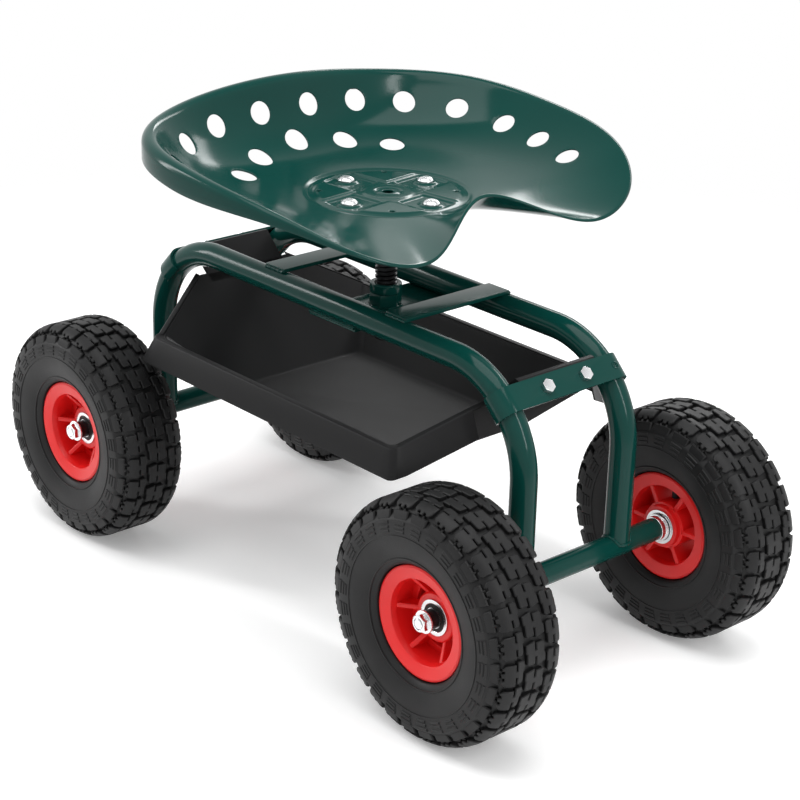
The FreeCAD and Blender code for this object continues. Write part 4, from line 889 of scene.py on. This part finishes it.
def tray_tab(along):
    """Middle of an end wall drawn up to the strap and turned down under it."""
    def leaned(out, up):
        return BEND_45[0] + (out - up) * math.sqrt(0.5), BEND_45[1] + (out + up) * math.sqrt(0.5)

    lead = FLOOR_HALF_X - FLOOR_Z
    outline = [
        (TAB_FOOT + lead, TAB_FOOT), leaned(RAIL_R - 2.5, 14.8), leaned(RAIL_R - 2.5, -13.0),
        leaned(RAIL_R, -13.0), leaned(RAIL_R, 16.4), leaned(RAIL_R - 0.6, 17.3),
        (TAB_TOP + lead - WALL_ACROSS, TAB_TOP), (TAB_FOOT + lead - WALL_ACROSS, TAB_FOOT),
    ]
    return bridged([[Vector((x * along, y, z)) for x, z in outline] for y in (-TAB_HALF, TAB_HALF)])


tray = joined(hopper(), tray_rims(), tray_tab(-1), tray_tab(1))
piece("tool_tray_moulded", tray, TRAY, "frame", "tool_tray", 30)


# Ends of the axles

def axle_end():
    """Chamfered hex with a round stud end in its middle, in wheel stations."""
    start, face = -27.0, -33.5
    flats, facing = 8.5, 8.1
    segments = 72
    rings = []
    for k in range(segments):
        turn = 2 * math.pi * k / segments
        edge = hexagon(flats, turn)
        outline = [
            (start, 5.0), (start, edge), (face + (edge - facing) * 0.6, edge), (face, facing), (face, 6.5),
            (face + 1.2, 6.2), (face + 1.2, 5.4), (face - 0.2, 5.4), (face - 0.8, 4.6), (face - 1.0, 2.4),
            (face - 1.0, 0.0),
        ]
        rings.append([Vector((r * math.sin(turn), y, r * math.cos(turn))) for y, r in outline])
    return bridged(rings, closed=False, looped=True)


def axle_collar():
    """Bright stepped ring on the end of an axle tube, next to the hub, in wheel stations."""
    bore = AXLE_R - 0.5
    outline = [(36.6, bore), (36.6, 15.0), (39.6, 15.0), (39.6, 13.6), (45.5, 13.6), (45.5, bore)]
    return lathe(rounded(outline, [0.3, 0.6, 0.6, 0.3, 0.6, 0.3], 3), 64)


def on_axles(shape):
    return joined(*(moved(shape, wheel_matrix(corner)) for corner in CORNERS))


piece("axle_bolts_hex", on_axles(axle_end()), ZINC, "frame", "axle_bolts", 30)
piece("axle_end_collars", on_axles(axle_collar()), ZINC, "frame", sharp=30)


# Seat pan: pressed sheet with a smooth closed edge, a rolled rim, holes and a pressed field in the middle.
# Places are relative to the pan's middle.

SEAT_EDGE = [
    (149, 0, 33), (192, 112, -3), (175, 189, 14), (129, 228, 38),
    (0, 255, 61), (-129, 227, 73.5), (-189, 140.5, 81), (-202, 0, 90),
]
SEAT_SPOT = Matrix.Translation((POST_X, 0, SEAT_Z))
SHEET = 2.0
SHEET_EDGE = 0.6

# Bowl: part cone, part power curve; the rolled edge and the fall of the flange grow from front to back.
BOWL_START = 80.0
CONE = 0.25
FRONT_ROLL = 2.5
BACK_ROLL = 9.0
FRONT_FALL = 0.8
BACK_FALL = 17.0

# Pressed field
FIELD_TURN = math.radians(7)
FIELD_R = 79.0
FIELD_RISE = 0.8
WEDGE_START = 23.5
WEDGE_RISE = 1.1
POCKET_HALF = 21.5
POCKET_START = 31.0
POCKET_DEPTH = 1.6
BOLT_RING = 61.0
BOSS_R = 14.5
DISC_R = 29.0
DISC_RISE = 0.7
DISC_GROOVE_R = 13.0
DISC_GROOVE = 1.0
GROOVE_R = 86.5
GROOVE = 1.1

# Holes; turns are degrees from the front of the pan.
CENTRE_HOLE_R = 6.0
FIELD_HOLE_R = 3.0
FIELD_HOLE_RING = 74.0
UPPER_HOLES = (169, 150, 134, 118, 101, 85, 69)
UPPER_HOLE_R = 13.0
BACK_INSET = 28.0
SIDE_INSET = 48.0
LOWER_HOLES = (180, 157, 137)
LOWER_HOLE_R = 14.0
LOWER_RING = 155.0

# Mesh of the pan
PAN_TURNS = 320
EDGE_STEPS = 200
FIELD_STEP = 1.9
FIELD_RINGS = 50
BOWL_RINGS = 44
ROLL_RINGS = 9


def smooth(value):
    """Soft step from 0 to 1."""
    value = min(max(value, 0.0), 1.0)
    return value * value * (3 - 2 * value)


def closed_spline(places, steps):
    """Smooth closed curve through the places, as points spread along it."""
    places = np.array(places, float)
    count = len(places)
    ahead = np.linalg.norm(np.roll(places, -1, 0) - places, axis=1)
    behind = np.roll(ahead, 1)
    system = np.zeros((count, count))
    change = np.zeros((count, 3))
    for i in range(count):
        j = (i + 1) % count
        system[i, i - 1] += behind[i]
        system[i, i] += 2 * (behind[i] + ahead[i])
        system[i, j] += ahead[i]
        change[i] = 6 * ((places[j] - places[i]) / ahead[i] - (places[i] - places[i - 1]) / behind[i])
    bend = np.linalg.solve(system, change)
    points = []
    for i in range(count):
        j = (i + 1) % count
        for b in np.arange(steps) / steps:
            a = 1 - b
            sag = ((a**3 - a) * bend[i] + (b**3 - b) * bend[j]) * ahead[i] ** 2 / 6
            points.append(a * places[i] + b * places[j] + sag)
    return np.array(points)


EDGE = closed_spline(SEAT_EDGE + [(x, -y, z) for x, y, z in SEAT_EDGE[-2:0:-1]], EDGE_STEPS)
EDGE = EDGE[:(len(SEAT_EDGE) - 1) * EDGE_STEPS + 1]
EDGE_TURNS = np.degrees(np.arctan2(EDGE[:, 1], EDGE[:, 0]))
EDGE_REACH = np.hypot(EDGE[:, 0], EDGE[:, 1])


@lru_cache(maxsize=None)
def rim_profile(turn):
    """Radius, height and lean of the bowl's end at this turn, then roll, fall of the flange, bowl power."""
    reach = float(np.interp(turn, EDGE_TURNS, EDGE_REACH))
    top = float(np.interp(turn, EDGE_TURNS, EDGE[:, 2]))
    blend = smooth((turn - 40) / 60)
    roll = FRONT_ROLL + (BACK_ROLL - FRONT_ROLL) * blend
    fall = FRONT_FALL + (BACK_FALL - FRONT_FALL) * blend
    power = 2 + 4 * ((1 - math.cos(math.radians(turn))) / 2) ** 1.3
    lean = 0.0
    for _ in range(8):
        radius = reach - roll - roll * math.sin(lean)
        height = top - roll + roll * math.cos(lean)
        lean = math.atan(height * (CONE + (1 - CONE) * power) / (radius - BOWL_START))
    return radius, height, lean, roll, fall, power


def bowl_height(radius, turn):
    end, height, _, _, _, power = rim_profile(turn)
    share = max((radius - BOWL_START) / (end - BOWL_START), 0.0)
    return height * (CONE * share + (1 - CONE) * share**power)


def pressed(x, y):
    """Pressed field: a disc, four pockets with the bolts, four raised wedges and a groove round them."""
    radius = math.hypot(x, y)
    if radius > GROOVE_R + 9.5:
        return 0.0
    u = abs(x * math.cos(FIELD_TURN) + y * math.sin(FIELD_TURN))
    v = abs(y * math.cos(FIELD_TURN) - x * math.sin(FIELD_TURN))
    along, across = max(u, v), min(u, v)
    height = FIELD_RISE * (1 - smooth((radius - FIELD_R) / 4))
    height += WEDGE_RISE * smooth((across - WEDGE_START) / 3.5) * smooth((FIELD_R + 1.5 - radius) / 3.5)
    pocket = smooth((POCKET_HALF - across) / 3.5) * smooth((along - POCKET_START) / 4)
    pocket *= smooth((FIELD_R + 1 - radius) / 4)
    boss = smooth((BOSS_R - math.hypot(along - BOLT_RING, across)) / 3)
    height -= POCKET_DEPTH * pocket * (1 - boss)
    height += DISC_RISE * smooth((DISC_R - radius) / 3)
    height -= DISC_GROOVE * smooth(1 - abs(radius - DISC_GROOVE_R) / 2.6)
    height -= GROOVE * smooth(1 - abs(radius - GROOVE_R) / 4)
    return height


def pan_height(x, y):
    turn = abs(math.degrees(math.atan2(y, x)))
    return bowl_height(math.hypot(x, y), round(turn, 4)) + pressed(x, y)


def pan_grid():
    """Top face of the pan as rings of points from the middle to the foot of the flange."""
    rings = []
    inner = [FIELD_STEP * k for k in range(1, FIELD_RINGS + 1)]
    for radius in inner:
        ring = []
        for k in range(PAN_TURNS):
            aim = 2 * math.pi * k / PAN_TURNS
            x, y = radius * math.cos(aim), radius * math.sin(aim)
            ring.append((x, y, pan_height(x, y)))
        rings.append(ring)
    columns = []
    for k in range(PAN_TURNS):
        aim = 2 * math.pi * k / PAN_TURNS
        turn = round(abs(math.degrees(math.atan2(math.sin(aim), math.cos(aim)))), 4)
        end, height, lean, roll, fall, _ = rim_profile(turn)
        places = []
        for step in range(1, BOWL_RINGS + 1):
            radius = inner[-1] + (end - inner[-1]) * step / BOWL_RINGS
            places.append((radius, bowl_height(radius, turn)))
        hub = (end + roll * math.sin(lean), height - roll * math.cos(lean))
        for step in range(1, ROLL_RINGS + 1):
            tilt = (math.pi / 2 + lean) * (1 - step / ROLL_RINGS)
            places.append((hub[0] + roll * math.cos(tilt), hub[1] + roll * math.sin(tilt)))
        for share in (0.5, 1.0):
            places.append((hub[0] + roll, hub[1] - (fall - SHEET_EDGE) * share))
        columns.append([(r * math.cos(aim), r * math.sin(aim), z) for r, z in places])
    rings += [list(ring) for ring in zip(*columns)]
    points = [(0, 0, pan_height(0, 0))] + [p for ring in rings for p in ring]
    faces = []
    for k in range(PAN_TURNS):
        j = (k + 1) % PAN_TURNS
        faces.append((0, 1 + k, 1 + j))
        for ring in range(len(rings) - 1):
            a, b = 1 + ring * PAN_TURNS, 1 + (ring + 1) * PAN_TURNS
            faces.append((a + k, b + k, b + j, a + j))
    last = 1 + (len(rings) - 1) * PAN_TURNS
    return points, faces, [last + k for k in range(PAN_TURNS)]


def pan_spot(x, y):
    """Place on the pan with two directions along it and one square to it."""
    step = 0.5
    rise_x = (pan_height(x + step, y) - pan_height(x - step, y)) / (2 * step)
    rise_y = (pan_height(x, y + step) - pan_height(x, y - step)) / (2 * step)
    square = Vector((-rise_x, -rise_y, 1)).normalized()
    first = Vector((1, 0, rise_x)).normalized()
    return Vector((x, y, pan_height(x, y))), first, square.cross(first), square


def hole_ring(x, y, radius, count):
    """Round hole square to the pan: points of its edge on the pan's top face."""
    spot, first, second, square = pan_spot(x, y)
    ring = []
    for k in range(count):
        turn = 2 * math.pi * k / count
        start = spot + (first * math.cos(turn) + second * math.sin(turn)) * radius
        reach = 0.0
        for _ in range(12):
            here = start + square * reach
            reach -= (here.z - pan_height(here.x, here.y)) * square.z
        ring.append(start + square * reach)
    return spot, first, second, square, ring


def hole_places():
    """Middle and radius of every hole of the pan."""
    def spot(radius, aim, size):
        return radius * math.cos(aim), radius * math.sin(aim), size

    places = [spot(0, 0, CENTRE_HOLE_R)]
    for step in range(4):
        places.append(spot(FIELD_HOLE_RING, FIELD_TURN + math.pi / 4 + math.pi / 2 * step, FIELD_HOLE_R))
    back, front = UPPER_HOLES[1], UPPER_HOLES[-1]
    walk = 0.25
    for turn in UPPER_HOLES:
        inset = BACK_INSET + (SIDE_INSET - BACK_INSET) * min(max((back - turn) / (back - front), 0), 1)
        radius, passed = rim_profile(turn)[0], 0.0
        while passed < inset:
            passed += math.hypot(walk, bowl_height(radius, turn) - bowl_height(radius - walk, turn))
            radius -= walk
        places += [spot(radius, math.radians(turn * side), UPPER_HOLE_R) for side in (-1, 1)]
    for turn in LOWER_HOLES:
        for side in (1,) if turn == 180 else (-1, 1):
            places.append(spot(LOWER_RING, math.radians(turn * side), LOWER_HOLE_R))
    return places


def zipped(outer, outer_turns, inner, inner_turns):
    """Triangles between two loops that go round the same middle, matched by angle."""
    def unwound(turns, start):
        result = [start + wrapped(turns[0] - start)]
        for turn in turns[1:] + turns[:1]:
            result.append(result[-1] + wrapped(turn - result[-1]))
        return result

    lead = min(range(len(outer)), key=lambda i: abs(wrapped(outer_turns[i] - inner_turns[0])))
    outer = outer[lead:] + outer[:lead]
    outer_turns = outer_turns[lead:] + outer_turns[:lead]
    a, b = unwound(outer_turns, inner_turns[0]), unwound(inner_turns, inner_turns[0])
    faces = []
    i = j = 0
    while i < len(outer) or j < len(inner):
        p, q = outer[i % len(outer)], inner[j % len(inner)]
        if j == len(inner) or (i < len(outer) and a[i + 1] <= b[j + 1]):
            faces.append((p, outer[(i + 1) % len(outer)], q))
            i += 1
        else:
            faces.append((p, inner[(j + 1) % len(inner)], q))
            j += 1
    return faces


def seat_pan():
    """Grid with each hole cut out of it and joined to its ring, then thickened."""
    points, faces, rim = pan_grid()
    rims = []
    for x, y, radius in hole_places():
        count = 24 if radius < 5 else 44
        spot, first, second, square, ring = hole_ring(x, y, radius + SHEET_EDGE, count)
        offsets = np.array(points) - np.array(spot)
        plan = np.stack([offsets @ np.array(first), offsets @ np.array(second)], 1)
        away = np.abs(offsets @ np.array(square))
        near = (np.hypot(plan[:, 0], plan[:, 1]) < radius + SHEET_EDGE + 0.9) & (away < 12)
        inside = set(np.flatnonzero(near).tolist())
        gone = [f for f in faces if not inside.isdisjoint(f)]
        faces = [f for f in faces if inside.isdisjoint(f)]
        sides = {(f[i - 1], f[i]) for f in gone for i in range(len(f))}
        follow = {a: b for a, b in sides if (b, a) not in sides}
        loop = [next(iter(follow))]
        while follow[loop[-1]] != loop[0]:
            loop.append(follow[loop[-1]])
        inner = [len(points) + k for k in range(count)]
        points += [tuple(p) for p in ring]
        inner_turns = [2 * math.pi * k / count for k in range(count)]
        loop_turns = [math.atan2(plan[i, 1], plan[i, 0]) for i in loop]
        faces += zipped(loop, loop_turns, inner, inner_turns)
        rims.append((inner, [(spot - p - square * (spot - p).dot(square)).normalized() for p in ring]))
    rims.append((rim[::-1], [Vector((0, 0, -1))] * len(rim)))
    return thickened(points, faces, rims)


def thickened(points, faces, rims):
    """Sheet below a top face; each rim is a loop of the top face with the directions away from the sheet."""
    square = [Vector() for _ in points]
    for face in faces:
        a, b, c, d = (Vector(points[face[i]]) for i in (0, 1, 2, -1))
        normal = (c - a).cross(d - b) if len(face) == 4 else (b - a).cross(c - a)
        for i in face:
            square[i] += normal
    square = [n.normalized() if n.length else Vector((0, 0, 1)) for n in square]
    top = [Vector(p) for p in points]
    count = len(top)
    solid = top + [p - n * SHEET for p, n in zip(top, square)]
    skin = list(faces) + [tuple(i + count for i in face[::-1]) for face in faces]
    tilts = [math.radians(turn) for turn in (30, 60, 90)]
    upper_edge = [(SHEET_EDGE * math.sin(tilt), SHEET_EDGE * (1 - math.cos(tilt))) for tilt in tilts]
    lower_edge = [(out, SHEET - down) for out, down in upper_edge[::-1]]
    for loop, away in rims:
        strips = [loop]
        for out, down in upper_edge + lower_edge:
            strips.append([len(solid) + k for k in range(len(loop))])
            solid += [top[i] + e * out - square[i] * down for i, e in zip(loop, away)]
        strips.append([i + count for i in loop])
        for upper, lower in zip(strips, strips[1:]):
            for k in range(len(loop)):
                j = (k + 1) % len(loop)
                skin.append((upper[k], upper[j], lower[j], lower[k]))
    used = sorted({i for face in skin for i in face})
    place = {old: new for new, old in enumerate(used)}
    return [solid[i] for i in used], [[place[i] for i in face] for face in skin]


def bolt_dome():
    """Round bolt head with its shank, standing on its seat at height 0."""
    outline = [(0.0, 4.5)] + arc((2.5, 4.45), (7.6, 3.2), (9.5, 1.2), 8)
    outline += [(9.5, 0.3), (9.2, 0.0), (4.0, 0.0), (4.0, -19.6), (3.6, -20.0), (0.0, -20.0)]
    shape = lathe([(z, r) for r, z in outline], 40, closed=False)
    return moved(shape, Matrix.Rotation(math.pi / 2, 4, "X"))


def seat_bolts():
    """Four bolts in the pockets of the pressed field."""
    domes = []
    for step in range(4):
        aim = FIELD_TURN + math.pi / 2 * step
        spot = Vector((BOLT_RING * math.cos(aim), BOLT_RING * math.sin(aim), FIELD_RISE))
        domes.append(moved(bolt_dome(), Matrix.Translation(spot)))
    return joined(*domes)


piece("seat_pan_pressed", moved(seat_pan(), SEAT_SPOT), GREEN, "seat", "seat_pan", 40)
piece("seat_bolts_round", moved(seat_bolts(), SEAT_SPOT), ZINC, "seat", "seat_bolts", 40)


# Solids that show as they are

PLAIN = {
    "seat_bracket": GREEN,
    "seat_screw": BLACK,
    "seat_nuts": ZINC,
    "seat_washers": ZINC,
    "tray_nuts": ZINC,
    "tray_washers": ZINC,
    "axle_spindles": STEEL,
    "bearing_inner_rings": STEEL,
    "hub_spacers": STEEL,
}
for corner in CORNERS:
    PLAIN[f"bearing_balls_{corner}"] = STEEL
    PLAIN[f"inner_tube_{corner}"] = RUBBER
    PLAIN[f"valve_stem_{corner}"] = RUBBER
for node, material in PLAIN.items():
    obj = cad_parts[node]
    obj.data.materials.clear()
    obj.data.materials.append(material)


# Studio, in metres: white floor, white surround, large soft lights.

def seen_as_white(tree):
    """1 for rays from the eye, in reflections and through glass, 0 for light that falls on the object."""
    link = tree.links.new
    path = add_node(tree, "ShaderNodeLightPath")
    mirrored = add_node(tree, "ShaderNodeMath", operation="MAXIMUM")
    seen = add_node(tree, "ShaderNodeMath", operation="MAXIMUM")
    link(path.outputs["Is Glossy Ray"], mirrored.inputs[0])
    link(path.outputs["Is Transmission Ray"], mirrored.inputs[1])
    link(path.outputs["Is Camera Ray"], seen.inputs[0])
    link(mirrored.outputs["Value"], seen.inputs[1])
    return seen.outputs["Value"]


def stage():
    """Floor that looks white round the object, keeps its shadow and fades into the surround further out."""
    reach = 6.0
    mesh = bpy.data.meshes.new("floor")
    corners = [(-reach, -reach, 0), (reach, -reach, 0), (reach, reach, 0), (-reach, reach, 0)]
    mesh.from_pydata(corners, [], [[0, 1, 2, 3]])
    material, tree, shader = node_material("floor_white")
    link = tree.links.new
    shader.inputs["Base Color"].default_value = (0.95, 0.95, 0.95, 1)
    shader.inputs["Roughness"].default_value = 0.7
    shader.inputs["Specular IOR Level"].default_value = 0.1
    level = add_node(tree, "ShaderNodeMath", {1: 0.20}, operation="MULTIPLY")
    lift = add_node(tree, "ShaderNodeEmission")
    lifted = add_node(tree, "ShaderNodeAddShader")
    link(seen_as_white(tree), level.inputs[0])
    link(level.outputs["Value"], lift.inputs["Strength"])
    link(shader.outputs["BSDF"], lifted.inputs[0])
    link(lift.outputs["Emission"], lifted.inputs[1])
    place = add_node(tree, "ShaderNodeTexCoord")
    distance = add_node(tree, "ShaderNodeVectorMath", operation="LENGTH")
    fade = add_node(
        tree, "ShaderNodeMapRange", {"From Min": 0.75, "From Max": 1.7}, interpolation_type="SMOOTHSTEP"
    )
    clear = add_node(tree, "ShaderNodeBsdfTransparent")
    mix = add_node(tree, "ShaderNodeMixShader")
    link(place.outputs["Object"], distance.inputs[0])
    link(distance.outputs["Value"], fade.inputs["Value"])
    link(fade.outputs["Result"], mix.inputs["Fac"])
    link(lifted.outputs["Shader"], mix.inputs[1])
    link(clear.outputs["BSDF"], mix.inputs[2])
    link(mix.outputs["Shader"], tree.nodes["Material Output"].inputs["Surface"])
    mesh.materials.append(material)
    floor = bpy.data.objects.new("floor", mesh)
    bpy.context.scene.collection.objects.link(floor)


def surround():
    """White to the eye and in reflections; a plain lower level for the light that falls on the object."""
    world = bpy.data.worlds.new("studio")
    bpy.context.scene.world = world
    world.use_nodes = True
    tree = world.node_tree
    link = tree.links.new
    back = tree.nodes["Background"]
    back.inputs["Color"].default_value = (1, 1, 1, 1)
    back.inputs["Strength"].default_value = 0.58
    bright = add_node(tree, "ShaderNodeBackground", {"Strength": 1.0})
    place = add_node(tree, "ShaderNodeTexCoord")
    parts = add_node(tree, "ShaderNodeSeparateXYZ")
    shade = add_node(tree, "ShaderNodeValToRGB")
    level, zenith = shade.color_ramp.elements
    level.position, zenith.position = 0.55, 0.95
    level.color, zenith.color = (1, 1, 1, 1), (0.30, 0.30, 0.31, 1)
    mix = add_node(tree, "ShaderNodeMixShader")
    link(place.outputs["Generated"], parts.inputs["Vector"])
    link(parts.outputs["Z"], shade.inputs["Fac"])
    link(shade.outputs["Color"], bright.inputs["Color"])
    link(seen_as_white(tree), mix.inputs["Fac"])
    link(back.outputs["Background"], mix.inputs[1])
    link(bright.outputs["Background"], mix.inputs[2])
    link(mix.outputs["Shader"], tree.nodes["World Output"].inputs["Surface"])


def soft_light(name, place, target, size, watts):
    data = bpy.data.lights.new(name, "AREA")
    data.shape = "RECTANGLE"
    data.size, data.size_y = size
    data.energy = watts
    lamp = bpy.data.objects.new(name, data)
    lamp.location = place
    lamp.rotation_euler = (Vector(target) - Vector(place)).to_track_quat("-Z", "Y").to_euler()
    bpy.context.scene.collection.objects.link(lamp)


def camera():
    azimuth, elevation, roll = math.radians(47.816), math.radians(22.127), math.radians(1.5)
    target, distance = Vector((-0.1009, 0.1256, 0.1489)), 2.5085
    level = Vector((math.sin(azimuth), -math.cos(azimuth), 0))
    back = level * math.cos(elevation) + Vector((0, 0, math.sin(elevation)))
    right = Vector((math.cos(azimuth), math.sin(azimuth), 0))
    up = back.cross(right)
    across = right * math.cos(roll) + up * math.sin(roll)
    above = up * math.cos(roll) - right * math.sin(roll)
    data = bpy.data.cameras.new("camera")
    data.sensor_width = 36.0
    data.lens = 94.46
    data.clip_end = 50
    obj = bpy.data.objects.new("camera", data)
    matrix = Matrix((across, above, back)).transposed().to_4x4()
    matrix.translation = target + back * distance
    obj.matrix_world = matrix
    bpy.context.scene.collection.objects.link(obj)
    bpy.context.scene.camera = obj


stage()
surround()
soft_light("top_box", (0.2, -0.3, 2.6), (0, 0, 0.3), (2.4, 2.0), 50)
soft_light("left_strip", (-2.2, -1.4, 1.5), (0, 0, 0.25), (0.35, 1.8), 24)
soft_light("right_strip", (2.4, 0.2, 1.6), (0, 0, 0.25), (0.3, 1.8), 24)
soft_light("back_strip", (-0.8, 2.4, 1.8), (0, 0, 0.3), (2.4, 0.35), 24)
camera()
bpy.context.scene.view_settings.view_transform = "Standard"
